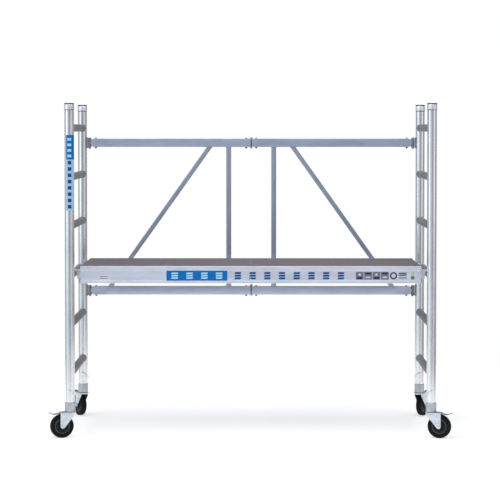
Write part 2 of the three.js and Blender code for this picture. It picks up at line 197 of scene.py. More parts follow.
def spline(points: Sequence[Point], steps: int) -> list[Vector]:
    """A smooth curve through points.

    Args:
        points: the points that it passes through.
        steps: how many steps it takes between two of them.

    Returns:
        The curve's points.
    """
    knots = [Vector(p) for p in points]
    knots = [knots[0] * 2 - knots[1], *knots, knots[-1] * 2 - knots[-2]]
    curve = []
    for i in range(1, len(knots) - 2):
        a, b, c, d = knots[i - 1 : i + 3]
        for k in range(steps):
            t = k / steps
            curve.append(0.5 * (2 * b + (c - a) * t + (2 * a - 5 * b + 4 * c - d) * t**2
                                + (3 * b - a - 3 * c + d) * t**3))
    return [*curve, knots[-2]]


# ---------------------------------------------------------------- placing

UP = Matrix.Identity(4)
ALONG_Y = Matrix.Rotation(math.radians(90), 4, "X")  # local Z runs along -Y, local Y along +Z
ALONG_X = Matrix.Rotation(math.radians(90), 4, "Y")  # local Z runs along +X


def shift(x: float, y: float, z: float) -> Matrix:
    """A move by x, y and z in metres."""
    return Matrix.Translation((x, y, z))


def flipped(side: Side) -> Matrix:
    """Mirrors what is drawn for the right end to the given side."""
    return Matrix.Diagonal((side.sign, 1, 1, 1))


def facing(sign: int) -> Matrix:
    """Leaves what is drawn along local Z as it is at 1, and mirrors it at -1."""
    return Matrix.Diagonal((1, 1, sign, 1))


def about_z(degrees: float) -> Matrix:
    """A turn about the upright axis."""
    return Matrix.Rotation(math.radians(degrees), 4, "Z")


# ---------------------------------------------------------------- materials


class Shading:
    """A material's node tree, with short calls for the nodes that the finishes share."""

    def __init__(self, name: str) -> None:
        """Starts a material with one Principled surface.

        Args:
            name: the material's name.
        """
        self.material = bpy.data.materials.new(name)
        self.material.use_nodes = True
        self.tree = self.material.node_tree
        self.tree.nodes.clear()
        self.surface = self.tree.nodes.new("ShaderNodeBsdfPrincipled")
        output = self.tree.nodes.new("ShaderNodeOutputMaterial")
        self.tree.links.new(self.surface.outputs[0], output.inputs["Surface"])

    def node(self, kind: str, inputs: dict[str | int, object] | None = None,
             **settings: object) -> bpy.types.Node:
        """Adds a node.

        Args:
            kind: the node's Blender type.
            inputs: values or sockets for its inputs.
            **settings: properties of the node itself.

        Returns:
            The new node.
        """
        node = self.tree.nodes.new(kind)
        for key, value in settings.items():
            setattr(node, key, value)
        for key, value in (inputs or {}).items():
            if isinstance(value, Socket):
                self.tree.links.new(value, node.inputs[key])
            else:
                node.inputs[key].default_value = value
        return node

    def place(self, scale: Point | float) -> Socket:
        """The object's own coordinates, stretched.

        Args:
            scale: the stretch along X, Y and Z, or one number for all three.

        Returns:
            The coordinates' socket.
        """
        scale = scale if isinstance(scale, tuple) else (scale,) * 3
        where = self.node("ShaderNodeTexCoord").outputs["Object"]
        return self.node("ShaderNodeMapping", {"Vector": where, "Scale": scale}).outputs[0]

    def noise(self, scale: Point | float, detail: float = 3.0, roughness: float = 0.55) -> Socket:
        """Soft noise.

        Args:
            scale: repeats for each metre along X, Y and Z, or one number for all three.
            detail: how many finer layers it has.
            roughness: how strong those are.

        Returns:
            A socket from 0 to 1.
        """
        return self.node(
            "ShaderNodeTexNoise",
            {"Vector": self.place(scale), "Scale": 1.0, "Detail": detail, "Roughness": roughness},
        ).outputs["Fac"]

    def cells(self, scale: Point | float, feature: str = "F1") -> Socket:
        """A cell pattern.

        Args:
            scale: repeats for each metre along X, Y and Z, or one number for all three.
            feature: which of the pattern's distances is read.

        Returns:
            The distance's socket.
        """
        return self.node(
            "ShaderNodeTexVoronoi", {"Vector": self.place(scale), "Scale": 1.0}, feature=feature
        ).outputs["Distance"]

    def between(self, factor: Socket, low: float, high: float, start: float = 0.3,
                end: float = 0.7) -> Socket:
        """Spreads a factor's middle over a range.

        Args:
            factor: the socket to spread.
            low: the result at the start.
            high: the result at the end.
            start: the factor that gives low.
            end: the factor that gives high.

        Returns:
            The spread value's socket.
        """
        values = {"Value": factor, "From Min": start, "From Max": end, "To Min": low,
                  "To Max": high}
        return self.node("ShaderNodeMapRange", values).outputs["Result"]

    def ramp(self, factor: Socket, stops: Sequence[tuple[float, Colour]]) -> Socket:
        """Colours along a factor.

        Args:
            factor: the socket that picks the colour.
            stops: positions from 0 to 1 with their colours.

        Returns:
            The colour's socket.
        """
        node = self.node("ShaderNodeValToRGB", {"Fac": factor})
        elements = node.color_ramp.elements
        while len(elements) < len(stops):
            elements.new(0.5)
        for element, (position, colour) in zip(elements, stops):
            element.position, element.color = position, (*colour, 1.0)
        return node.outputs["Color"]

    def multiply(self, first: Socket, second: Socket, strength: float = 1.0) -> Socket:
        """One colour multiplied by another.

        Args:
            first: the colour below.
            second: the colour that darkens it.
            strength: how much of the darkening shows.

        Returns:
            The product's socket.
        """
        node = self.node("ShaderNodeMix", {"Factor": strength},
                         data_type="RGBA", blend_type="MULTIPLY")
        self.tree.links.new(first, node.inputs[6])
        self.tree.links.new(second, node.inputs[7])
        return node.outputs[2]

    def add(self, first: Socket, second: Socket, gain: float = 1.0) -> Socket:
        """One value added to another.

        Args:
            first: the value that is taken whole.
            second: the value that is added.
            gain: what the second is multiplied by.

        Returns:
            The sum's socket.
        """
        return self.node(
            "ShaderNodeMath", {0: second, 1: gain, 2: first}, operation="MULTIPLY_ADD"
        ).outputs[0]

    def bump(self, height: Socket, depth: float, strength: float = 1.0) -> None:
        """Raises the surface.

        Args:
            height: the height's socket, from 0 to 1.
            depth: the greatest height in metres.
            strength: how much of it shows.
        """
        values = {"Height": height, "Distance": depth, "Strength": strength}
        node = self.node("ShaderNodeBump", values)
        self.tree.links.new(node.outputs[0], self.surface.inputs["Normal"])

    def set(self, **values: object) -> None:
        """Sets or links the surface's inputs.

        Args:
            **values: a value or socket for each input, with an underscore for each space.
        """
        for key, value in values.items():
            socket = self.surface.inputs[key.replace("_", " ")]
            if isinstance(value, Socket):
                self.tree.links.new(value, socket)
            else:
                socket.default_value = value


CLEAN: Colour = (1.0, 1.0, 1.0)


def tinted(colour: Colour, gain: float) -> Colour:
    """A colour made lighter or darker, kept between 0 and 1."""
    return tuple(min(1.0, channel * gain) for channel in colour)


@dataclass(frozen=True)
class Finish:
    """What the finishes share: a name, the record's slot and a base colour."""

    name: str
    slot: Slot
    colour: Colour

    def paint(self, shading: Shading) -> None:
        """Makes the nodes; each finish has its own."""
        raise NotImplementedError

    def material(self) -> bpy.types.Material:
        """Makes the finish's material on its first use.

        Returns:
            The material.
        """
        made = bpy.data.materials.get(self.name)
        if made is None:
            shading = Shading(self.name)
            self.paint(shading)
            made = shading.material
        return made


@dataclass(frozen=True)
class DrawnAluminium(Finish):
    """Extruded or drawn aluminium: lines along the stock, soft clouding, scuffs and light dents."""

    axis: int = 2
    roughness: float = 0.32
    clouding: float = 0.10
    scuffs: float = 0.5

    def stretch(self, fine: float, long: float) -> Point:
        """A scale that is fine across the stock and long along it."""
        return tuple(long if i == self.axis else fine for i in range(3))

    def paint(self, shading: Shading) -> None:
        """Draws the die lines, the clouding and the scuffs.

        Args:
            shading: the node tree that it fills.
        """
        lines = shading.noise(self.stretch(900.0, 1.6), 4.0, 0.7)
        clouds = shading.noise(self.stretch(16.0, 5.0), 4.0, 0.6)
        marks = shading.cells(self.stretch(60.0, 14.0), "DISTANCE_TO_EDGE")
        scuffed = shading.between(marks, self.scuffs, 0.0, 0.0, 0.035)
        shade = shading.ramp(clouds, [
            (0.30, tinted(self.colour, 1 - self.clouding)),
            (0.52, self.colour),
            (0.72, tinted(self.colour, 1 + self.clouding * 0.8)),
        ])
        grain = shading.ramp(lines, [(0.35, (0.86, 0.87, 0.88)), (0.6, CLEAN)])
        shade = shading.multiply(shade, grain, 0.7)
        rough = shading.between(lines, self.roughness - 0.06, self.roughness + 0.06)
        rough = shading.add(rough, clouds, 0.08)
        rough = shading.add(rough, scuffed, 0.10)
        shading.set(Base_Color=shade, Metallic=1.0, Roughness=rough)
        shading.bump(lines, 0.00002, 0.5)


@dataclass(frozen=True)
class ZincPlate(Finish):
    """Bright zinc on pressed steel: faint spangle, handling marks and a slightly uneven sheen."""

    roughness: float = 0.34
    spangle: float = 220.0

    def paint(self, shading: Shading) -> None:
        """Draws the spangle, the stains and the marks.

        Args:
            shading: the node tree that it fills.
        """
        crystals = shading.cells(self.spangle)
        stains = shading.noise(45.0, 5.0, 0.65)
        marks = shading.noise((900.0, 900.0, 240.0), 3.0, 0.7)
        shade = shading.ramp(crystals, [
            (0.0, tinted(self.colour, 0.88)),
            (0.5, self.colour),
            (0.9, tinted(self.colour, 1.12)),
        ])
        dull = shading.ramp(stains, [(0.35, (0.78, 0.79, 0.80)), (0.6, CLEAN)])
        shade = shading.multiply(shade, dull, 0.7)
        rough = shading.between(stains, self.roughness + 0.14, self.roughness - 0.05)
        shading.set(Base_Color=shade, Metallic=1.0, Roughness=shading.add(rough, marks, 0.08))
        shading.bump(shading.add(marks, crystals, 0.5), 0.00006, 0.6)


@dataclass(frozen=True)
class CastAluminium(Finish):
    """Cast or sawn aluminium fittings: fine pits and a dull, cloudy face."""

    roughness: float = 0.46
    grit: float = 700.0

    def paint(self, shading: Shading) -> None:
        """Draws the pits and the clouding.

        Args:
            shading: the node tree that it fills.
        """
        pits = shading.noise(self.grit, 4.0, 0.7)
        clouds = shading.noise(32.0, 4.0, 0.6)
        shade = shading.ramp(clouds, [
            (0.32, tinted(self.colour, 0.84)),
            (0.55, self.colour),
            (0.75, tinted(self.colour, 1.12)),
        ])
        speckle = shading.ramp(pits, [(0.3, (0.74, 0.74, 0.75)), (0.5, CLEAN)])
        shading.set(Base_Color=shading.multiply(shade, speckle, 0.6), Metallic=1.0,
                    Roughness=shading.between(clouds, self.roughness - 0.05, self.roughness + 0.12))
        shading.bump(pits, 0.00012, 0.7)


@dataclass(frozen=True)
class WeldBead(Finish):
    """A rippled weld with a dull, slightly sooty edge."""

    def paint(self, shading: Shading) -> None:
        """Draws the ripples and the soot.

        Args:
            shading: the node tree that it fills.
        """
        soot = shading.noise(240.0, 4.0, 0.65)
        shade = shading.ramp(soot, [
            (0.35, tinted(self.colour, 0.62)),
            (0.6, self.colour),
        ])
        shading.set(Base_Color=shade, Metallic=1.0, Roughness=shading.between(soot, 0.55, 0.36))
        shading.bump(soot, 0.0002, 0.6)


@dataclass(frozen=True)
class DeckBoard(Finish):
    """Phenolic-faced plywood: a pressed anti-slip mesh, worn lanes, dust and paint-dull patches."""

    pitch: float = 0.0055

    def paint(self, shading: Shading) -> None:
        """Draws the pressed mesh, the wear and the dust.

        Args:
            shading: the node tree that it fills.
        """
        mesh = shading.cells(1 / self.pitch, "DISTANCE_TO_EDGE")
        wire = shading.between(mesh, 0.0, 1.0, 0.04, 0.16)
        lanes = shading.noise((1.6, 14.0, 14.0), 4.0, 0.6)
        dust = shading.noise(26.0, 6.0, 0.7)
        shade = shading.ramp(lanes, [
            (0.30, tinted(self.colour, 0.84)),
            (0.50, self.colour),
            (0.72, (self.colour[0] * 1.22, self.colour[1] * 1.13, self.colour[2] * 1.15)),
        ])
        film = shading.ramp(dust, [(0.35, (0.82, 0.81, 0.82)), (0.65, CLEAN)])
        groove = shading.ramp(wire, [(0.0, (0.72, 0.71, 0.72)), (0.8, CLEAN)])
        shade = shading.multiply(shading.multiply(shade, film, 0.8), groove, 0.55)
        rough = shading.add(shading.between(dust, 0.50, 0.68), lanes, 0.06)
        shading.set(Base_Color=shade, Metallic=0.0, Roughness=rough, Specular_IOR_Level=0.42)
        shading.bump(shading.add(wire, dust, 0.12), 0.00035, 0.8)


@dataclass(frozen=True)
class MouldedPlastic(Finish):
    """Moulded plastic with a fine spark-eroded grain and rubbed, slightly grey patches."""

    roughness: float = 0.42

    def paint(self, shading: Shading) -> None:
        """Draws the grain and the rubbed patches.

        Args:
            shading: the node tree that it fills.
        """
        grain = shading.noise(1600.0, 3.0, 0.6)
        rubbed = shading.noise(38.0, 5.0, 0.65)
        shade = shading.ramp(rubbed, [
            (0.35, tinted(self.colour, 0.75)),
            (0.55, self.colour),
            (0.78, tuple(channel * 1.5 + 0.003 for channel in self.colour)),
        ])
        rough = shading.between(rubbed, self.roughness - 0.06, self.roughness + 0.14)
        shading.set(Base_Color=shade, Metallic=0.0, Roughness=shading.add(rough, grain, 0.05),
                    Specular_IOR_Level=0.22)
        shading.bump(grain, 0.00006, 0.6)


@dataclass(frozen=True)
class TyreRubber(Finish):
    """Solid black rubber: a matt, fine-pored skin with pale dust in the low spots."""

    def paint(self, shading: Shading) -> None:
        """Draws the pores and the dust.

        Args:
            shading: the node tree that it fills.
        """
        pores = shading.noise(1100.0, 4.0, 0.7)
        dust = shading.noise(60.0, 6.0, 0.7)
        shade = shading.ramp(dust, [
            (0.38, self.colour),
            (0.60, tinted(self.colour, 1.5)),
            (0.82, tuple(channel * 2.2 + 0.006 for channel in self.colour)),
        ])
        shading.set(Base_Color=shade, Metallic=0.0, Roughness=shading.between(dust, 0.55, 0.80),
                    Specular_IOR_Level=0.16)
        shading.bump(shading.add(pores, dust, 0.4), 0.00012, 0.7)


@dataclass(frozen=True)
class Vinyl(Finish):
    """A plain printed vinyl sticker: even ink, faint mottling and a slightly wavy film."""

    roughness: float = 0.38

    def paint(self, shading: Shading) -> None:
        """Draws the ink's mottling and the film's slight waviness.

        Args:
            shading: the node tree that it fills.
        """
        ink = shading.noise(420.0, 3.0, 0.6)
        wave = shading.noise(28.0, 2.0)
        shade = shading.ramp(ink, [
            (0.3, tinted(self.colour, 0.93)),
            (0.7, tinted(self.colour, 1.05)),
        ])
        shading.set(Base_Color=shade, Metallic=0.0, Specular_IOR_Level=0.20,
                    Roughness=shading.between(wave, self.roughness - 0.06, self.roughness + 0.08))
        shading.bump(shading.add(wave, ink, 0.2), 0.00008, 0.4)


TUBE = DrawnAluminium("upright_aluminium", Slot.TUBE, (0.80, 0.81, 0.83), axis=2, roughness=0.17)
RING = DrawnAluminium("swaged_aluminium", Slot.TUBE, (0.88, 0.88, 0.92), axis=2, roughness=0.42)
RUNG = DrawnAluminium("rung_aluminium", Slot.RUNG, (0.39, 0.39, 0.40), axis=1, roughness=0.36)
BRACE_X = DrawnAluminium("brace_beam_aluminium", Slot.BRACE, (0.56, 0.62, 0.73), axis=0,
                         roughness=0.36)
BRACE_Z = DrawnAluminium("brace_strut_aluminium", Slot.BRACE, (0.47, 0.52, 0.61), axis=2,
                         roughness=0.38)
BEAM = DrawnAluminium("side_beam_aluminium", Slot.BEAM, (0.82, 0.84, 0.92), axis=0, roughness=0.40)
CAST = CastAluminium("fitting_aluminium", Slot.CAST, (0.30, 0.31, 0.36))
# This cast aluminium is made far lighter than CAST to paint light on the hook beams, which lie in
# shade; the cross members and rivets share it.
HOOK_PAINTED_LIGHT = CastAluminium("hook_beam_aluminium_painted_light", Slot.CAST, (0.90, 0.91, 0.94), roughness=0.44)
ZINC = ZincPlate("bright_zinc", Slot.ZINC, (0.66, 0.71, 0.76), roughness=0.28)
PEDAL = ZincPlate("pedal_zinc", Slot.ZINC, (0.34, 0.38, 0.42), roughness=0.36)
DARK_ZINC = ZincPlate("dull_bolt_zinc", Slot.ZINC, (0.13, 0.13, 0.15), roughness=0.42)
COLLAR = ZincPlate("collar_zinc", Slot.COLLAR, (0.52, 0.54, 0.58), roughness=0.36, spangle=150.0)
WELD = WeldBead("weld_bead", Slot.TUBE, (0.50, 0.51, 0.53))
DECK = DeckBoard("phenolic_board", Slot.DECK, (0.215, 0.190, 0.202))
PLASTIC = MouldedPlastic("black_plastic", Slot.CAP, (0.006, 0.006, 0.007), roughness=0.60)
RIM = MouldedPlastic("black_wheel_centre", Slot.RIM, (0.007, 0.007, 0.008), roughness=0.42)
# A grey lighter than the wheel centre's black: a painted highlight on the centre's rings, drawn as
# hub covers.
HUB_PAINTED_HIGHLIGHT = MouldedPlastic("grey_hub_cover_painted_highlight", Slot.RIM, (0.060, 0.060, 0.066), roughness=0.40)
TYRE = TyreRubber("black_rubber", Slot.TYRE, (0.0045, 0.0045, 0.0050))
BLUE = Vinyl("blue_vinyl", Slot.BEAM, (0.002, 0.150, 0.48))
DEEP = Vinyl("deep_blue_vinyl", Slot.BEAM, (0.004, 0.075, 0.26))
SKY = Vinyl("pale_blue_vinyl", Slot.BEAM, (0.40, 0.72, 0.88))
PALE = Vinyl("ice_blue_vinyl", Slot.BEAM, (0.40, 0.58, 0.76))
WHITE = Vinyl("white_vinyl", Slot.BEAM, (0.70, 0.74, 0.78))
GREY = Vinyl("grey_vinyl", Slot.BEAM, (0.17, 0.185, 0.225))
INK = Vinyl("dark_vinyl", Slot.BEAM, (0.020, 0.023, 0.032))
GREEN = Vinyl("green_vinyl", Slot.BEAM, (0.10, 0.24, 0.12))
LIME = Vinyl("lime_vinyl", Slot.BEAM, (0.50, 0.58, 0.30))


# ---------------------------------------------------------------- meshes


MERGE_REACH = 2e-6


class MeshMaker:
    """Gathers closed shells in metres and turns them into one shaded piece."""

    def __init__(self, place: Matrix = UP) -> None:
        """Starts an empty piece.

        Args:
            place: where the shells' own frame lies in the model.
        """
        self.place = place
        self.points: list[Vector] = []
        self.faces: list[tuple[int, ...]] = []

    def add(self, points: Iterable[Sequence[float]], faces: Iterable[Sequence[int]],
            local: Matrix) -> None:
        """Adds a shell.

        Args:
            points: its points.
            faces: its faces, as indices of the points.
            local: where it lies in the piece's own frame.
        """
        first = len(self.points)
        total = self.place @ local
        self.points += [total @ Vector(p) for p in points]
        self.faces += [tuple(first + i for i in face) for face in faces]

    def rings(self, rings: Sequence[Sequence[Sequence[float]]], local: Matrix,
              ends: bool = True) -> None:
        """Joins rings of the same number of points into a skin.

        Args:
            rings: the rings in order.
            local: where they lie.
            ends: True closes the first and last ring with a face each, False joins them to
                each other.
        """
        count = len(rings[0])
        points = [point for ring in rings for point in ring]
        faces: list[tuple[int, ...]] = []
        pairs = len(rings) - 1 if ends else len(rings)
        for r in range(pairs):
            a, b = r * count, (r + 1) % len(rings) * count
            faces += [(a + i, a + (i + 1) % count, b + (i + 1) % count, b + i)
                      for i in range(count)]
        if ends:
            last = (len(rings) - 1) * count
            faces += [tuple(range(count))[::-1], tuple(last + i for i in range(count))]
        self.add(points, faces, local)

    def lathe(self, profile: Sequence[Flat], segments: int = 48, local: Matrix = UP) -> None:
        """Turns a closed profile about the local Z axis.

        Args:
            profile: (radius, height) pairs, from the axis to the axis or round a ring's section.
            segments: how many steps make the full turn.
            local: where the turned shell lies.
        """
        turns = [2 * math.pi * i / segments for i in range(segments)]
        rings = [[(r * math.cos(t), r * math.sin(t), z) for t in turns] for r, z in profile]
        solid = profile[0][0] < 1e-9 and profile[-1][0] < 1e-9
        self.rings(rings, local, ends=solid)

    def rod(self, radius: float, low: float, high: float, segments: int,
            local: Matrix = UP) -> None:
        """A plain round bar.

        Args:
            radius: its radius.
            low: where it starts along the local Z axis.
            high: where it ends.
            segments: how many sides it has.
            local: where it lies.
        """
        self.lathe([(0, low), (radius, low), (radius, high), (0, high)], segments, local)

    def prism(self, outline: Sequence[Flat], low: float, high: float, local: Matrix = UP,
              hole: float = 0.0) -> None:
        """Pushes an outline along the local Z axis.

        Args:
            outline: the outline's points.
            low: where it starts.
            high: where it ends.
            local: where the prism lies.
            hole: the radius of a round hole about the local Z axis, if there is one.
        """
        faces = [[(x, y, z) for x, y in outline] for z in (low, high)]
        if not hole:
            self.rings(faces, local)
            return
        scales = [hole / math.hypot(x, y) for x, y in outline]
        bores = [[(x * s, y * s, z) for (x, y), s in zip(outline, scales)] for z in (high, low)]
        self.rings([*faces, *bores], local, ends=False)

    def tube(self, outline: Sequence[Flat], bore: Sequence[Flat], low: float, high: float,
             local: Matrix = UP) -> None:
        """Pushes a hollow section along the local Z axis.

        Args:
            outline: the outside of the section.
            bore: its inside, with as many points.
            low: where the tube starts.
            high: where it ends.
            local: where it lies.
        """
        spans = ((outline, low), (outline, high), (bore, high), (bore, low))
        self.rings([[(x, y, z) for x, y in ring] for ring, z in spans], local, ends=False)

    def sweep(self, path: Sequence[Sequence[float]], radius: float | Callable[[float], float],
              sides: int = 12, closed: bool = False, local: Matrix = UP) -> None:
        """Draws a round bar along a path.

        Args:
            path: the middle of the bar.
            radius: its radius, or a function of the share of the path run so far.
            sides: how many sides its section has.
            closed: True where the path ends at its start.
            local: where the path lies.
        """
        path = [Vector(point) for point in path]
        count = len(path)
        side = Vector((0.0, 0.0, 1.0))
        rings = []
        for i, point in enumerate(path):
            after = path[(i + 1) % count] if closed or i < count - 1 else point
            before = path[i - 1] if closed or i else point
            ahead = (after - before).normalized()
            side = side - ahead * side.dot(ahead) if i else ahead.orthogonal()
            side.normalize()
            over = ahead.cross(side)
            thick = radius(i / count) if callable(radius) else radius
            rings.append([point + (side * c + over * s) for c, s in circle(thick, sides)])
        self.rings(rings, local, ends=not closed)

    def hexagon(self, across: float, low: float, high: float, local: Matrix = UP) -> None:
        """A nut or bolt head of a width across its corners, with eased corners."""
        self.prism(softened(circle(across / 2, 6), across * 0.06, 2), low, high, local)

    def piece(self, name: str, body: str, finish: Finish, stands_for: Sequence[str] = (),
              crease: float = 32.0, edge: float = 0.0,
              cutters: Sequence["MeshMaker"] = ()) -> bpy.types.Object:
        """Makes the object, shades it and puts it on its body.

        Args:
            name: the piece's name.
            body: the body that it rides on.
            finish: its finish.
            stands_for: the model's nodes that it is shown in place of.
            crease: the angle in degrees above which an edge stays sharp.
            edge: the width of the eased edges in metres, or 0 for none.
            cutters: shells that are cut away.

        Returns:
            The new object.
        """
        made = self.object(name)
        for i, cutter in enumerate(cutters):
            subtract(made, cutter.object(f"{name}_cutter_{i}"))
        for polygon in made.data.polygons:
            polygon.use_smooth = True
        made.data.set_sharp_from_angle(angle=math.radians(crease))
        if edge:
            ease_edges(made, edge)
        made.data.materials.clear()
        made.data.materials.append(finish.material())
        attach(made, body)
        if stands_for:
            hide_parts(*stands_for)
        log.info("%s: %d faces on %s", name, len(made.data.polygons), body)
        return made

    def object(self, name: str) -> bpy.types.Object:
        """Makes the bare object, with its doubled points merged and its faces turned outwards.

        Args:
            name: the object's name.

        Returns:
            The object, linked to the scene.
        """
        mesh = bpy.data.meshes.new(name)
        mesh.from_pydata([tuple(p) for p in self.points], [], self.faces)
        work = bmesh.new()
        work.from_mesh(mesh)
        bmesh.ops.remove_doubles(work, verts=work.verts, dist=MERGE_REACH)
        bmesh.ops.dissolve_degenerate(work, edges=work.edges, dist=MERGE_REACH / 2)
        bmesh.ops.recalc_face_normals(work, faces=work.faces)
        work.to_mesh(mesh)
        work.free()
        made = bpy.data.objects.new(name, mesh)
        bpy.context.scene.collection.objects.link(made)
        return made


def subtract(made: bpy.types.Object, cutter: bpy.types.Object) -> None:
    """Cuts one object away from another and removes it.

    Args:
        made: the object that is cut.
        cutter: the object that is cut away.
    """
    modifier = made.modifiers.new("cut", "BOOLEAN")
    modifier.object, modifier.operation, modifier.solver = cutter, "DIFFERENCE", "EXACT"
    shapes = bpy.context.evaluated_depsgraph_get()
    mesh = bpy.data.meshes.new_from_object(made.evaluated_get(shapes))
    made.modifiers.clear()
    made.data = mesh
    bpy.data.objects.remove(cutter)


def ease_edges(made: bpy.types.Object, width: float) -> None:
    """Rounds an object's sharp edges a little.

    Args:
        made: the object.
        width: the rounding's width in metres.
    """
    modifier = made.modifiers.new("eased_edges", "BEVEL")
    modifier.width, modifier.segments = width, 2
    modifier.limit_method, modifier.angle_limit = "ANGLE", math.radians(38)
    modifier.harden_normals = True


def ripple(radius: float, waves: int) -> Callable[[float], float]:
    """A bead's radius along its path, rising and falling with each drop of metal."""
    return lambda share: radius * (1 + 0.16 * math.sin(2 * math.pi * waves * share))


# ---------------------------------------------------------------- ladder frames

SHIFT = -0.0268  # the tubes' place along Y, so that the footprint is centred
HALF_BAY = 0.9525
HALF_WIDTH = 0.35
RUNG_PLACES = [0.333 + 0.26 * i for i in range(6)]
PIN_HEIGHT = 0.252
PIN_HOLE = 0.0045


def pin_drill(place: Matrix) -> MeshMaker:
    """The drill that makes a locking pin's hole through an upright or a stem.

    Args:
        place: the tube's axis on the floor.

    Returns:
        The drill's shell, to be cut away.
    """
    drill = MeshMaker(place)
    drill.rod(PIN_HOLE, -0.05, 0.05, 24, shift(0, 0, PIN_HEIGHT) @ ALONG_Y)
    return drill


@dataclass
class LadderFrame:
    """One end of the scaffold: two uprights with plugs in their mouths, and six welded rungs."""

    side: Side
    radius: float = 0.025
    bore: float = 0.023
    foot: float = 0.1868
    top: float = 1.757
    ring: float = 0.0262
    rung_radius: float = 0.020
    rung_groove: float = 0.0191
    rung_bore: float = 0.0172
    ridges: int = 24
    bead_path: float = 0.0205
    bead_saddle: float = 0.0262
    bead: float = 0.0019

    @property
    def body(self) -> str:
        """The body that the frame's pieces ride on."""
        return f"{self.side.label}_frame"

    def upright(self, end: End, place: Matrix) -> None:
        """The tube with its swaged mouth, the crimped groove below it, a dark band in that groove
        that paints the shadow of the ring's step, and the locking pin's hole.

        Args:
            end: which of the frame's uprights it is.
            place: the tube's axis on the floor.
        """
        top, ring, out = self.top, self.ring, self.radius
        outside = [(out - 0.0006, self.foot), (out, self.foot + 0.0006), (out, top - 0.0315),
                   (out - 0.0007, top - 0.0305), (out - 0.0007, top - 0.0285), (ring, top - 0.0265),
                   (ring, top - 0.0012), (ring - 0.0008, top)]
        maker = MeshMaker(place)
        maker.lathe([*outside, (self.bore, top), (self.bore, self.foot)], 64)
        name = f"{end.label}_{self.side.label}_upright"
        maker.piece(name, self.body, TUBE, [name], crease=28, cutters=[pin_drill(place)])
        sleeve = MeshMaker(place)
        sleeve.lathe([(out + 0.0006, top - 0.0262), (ring + 0.0003, top - 0.0255),
                      (ring + 0.0003, top - 0.0016), (ring - 0.0002, top - 0.0006),
                      (out + 0.0006, top - 0.0006)], 64)
        sleeve.piece(f"{name}_swaged_ring", self.body, RING, crease=28)
        # A dark band in the crimped groove under the ring: painted shadow of the ring's step, not a
        # part of the tube.
        painted_shadow_band = MeshMaker(place)
        painted_shadow_band.lathe([(out - 0.0010, top - 0.0312), (out + 0.0001, top - 0.0312),
                     (out + 0.0001, top - 0.0268), (out - 0.0010, top - 0.0268)], 64)
        painted_shadow_band.piece(f"{name}_crimp", self.body, DARK_ZINC, crease=28)

    def cap(self, end: End, place: Matrix) -> None:
        """The black plug: a soft rim, a shallow dish and a raised dot where it was moulded.

        Args:
            end: which of the frame's uprights it closes.
            place: the middle of the tube's mouth.
        """
        maker = MeshMaker(place)
        maker.lathe([(0, -0.014), (0.0224, -0.014), (0.0224, 0.0003), (0.0256, 0.0003),
                     (0.0256, 0.0042), (0.0251, 0.0055), (0.0240, 0.0060), (0.0205, 0.0058),
                     (0.0190, 0.0046), (0.0035, 0.0044), (0.0030, 0.0049), (0, 0.0049)], 64)
        name = f"{end.label}_{self.side.label}_cap"
        maker.piece(name, self.body, PLASTIC, [name], crease=40)

    def rung(self, index: int, place: Matrix) -> None:
        """A ridged rung, its ends shaped to the uprights, with the welds round them.

        Args:
            index: the rung's number from the floor.
            place: the rung's middle.
        """
        count = self.ridges * 4
        radii = [self.rung_radius if i % 4 < 2 else self.rung_groove for i in range(count)]
        inner = [self.rung_bore] * count

        def end_ring(sizes: Sequence[float], sign: int,
                     saddle: float = self.radius + 0.0003) -> list[Point]:
            """A ring round the rung's end, shaped to the upright.

            Args:
                sizes: the ring's radius at each step of its turn.
                sign: -1 at the front, 1 at the rear.
                saddle: the radius about the upright's axis that it follows.

            Returns:
                The ring's points.
            """
            turns = [2 * math.pi * i / len(sizes) for i in range(len(sizes))]
            flat = [(r * math.cos(t), r * math.sin(t)) for r, t in zip(sizes, turns)]
            return [(x, sign * (HALF_WIDTH - math.sqrt(saddle**2 - x * x)), z) for x, z in flat]

        maker = MeshMaker(place)
        maker.rings([end_ring(radii, -1), end_ring(radii, 1), end_ring(inner, 1),
                     end_ring(inner, -1)],
                    UP, ends=False)
        name = f"{self.side.label}_rung_{index}"
        maker.piece(name, self.body, RUNG, [name], crease=18)
        beads = MeshMaker(place)
        for sign in (-1, 1):
            path = end_ring([self.bead_path] * 72, sign, self.bead_saddle)
            beads.sweep(path, ripple(self.bead, 24), 10, closed=True)
        beads.piece(f"{name}_welds", self.body, WELD)

    def build(self) -> None:
        """Builds both uprights with their plugs, and the rungs."""
        x = self.side.sign * HALF_BAY
        for end in End:
            place = shift(x, end.sign * HALF_WIDTH + SHIFT, 0)
            self.upright(end, place)
            self.cap(end, place @ shift(0, 0, self.top))
        for index, height in enumerate(RUNG_PLACES, 1):
            self.rung(index, shift(x, SHIFT, height))


# ---------------------------------------------------------------- casters


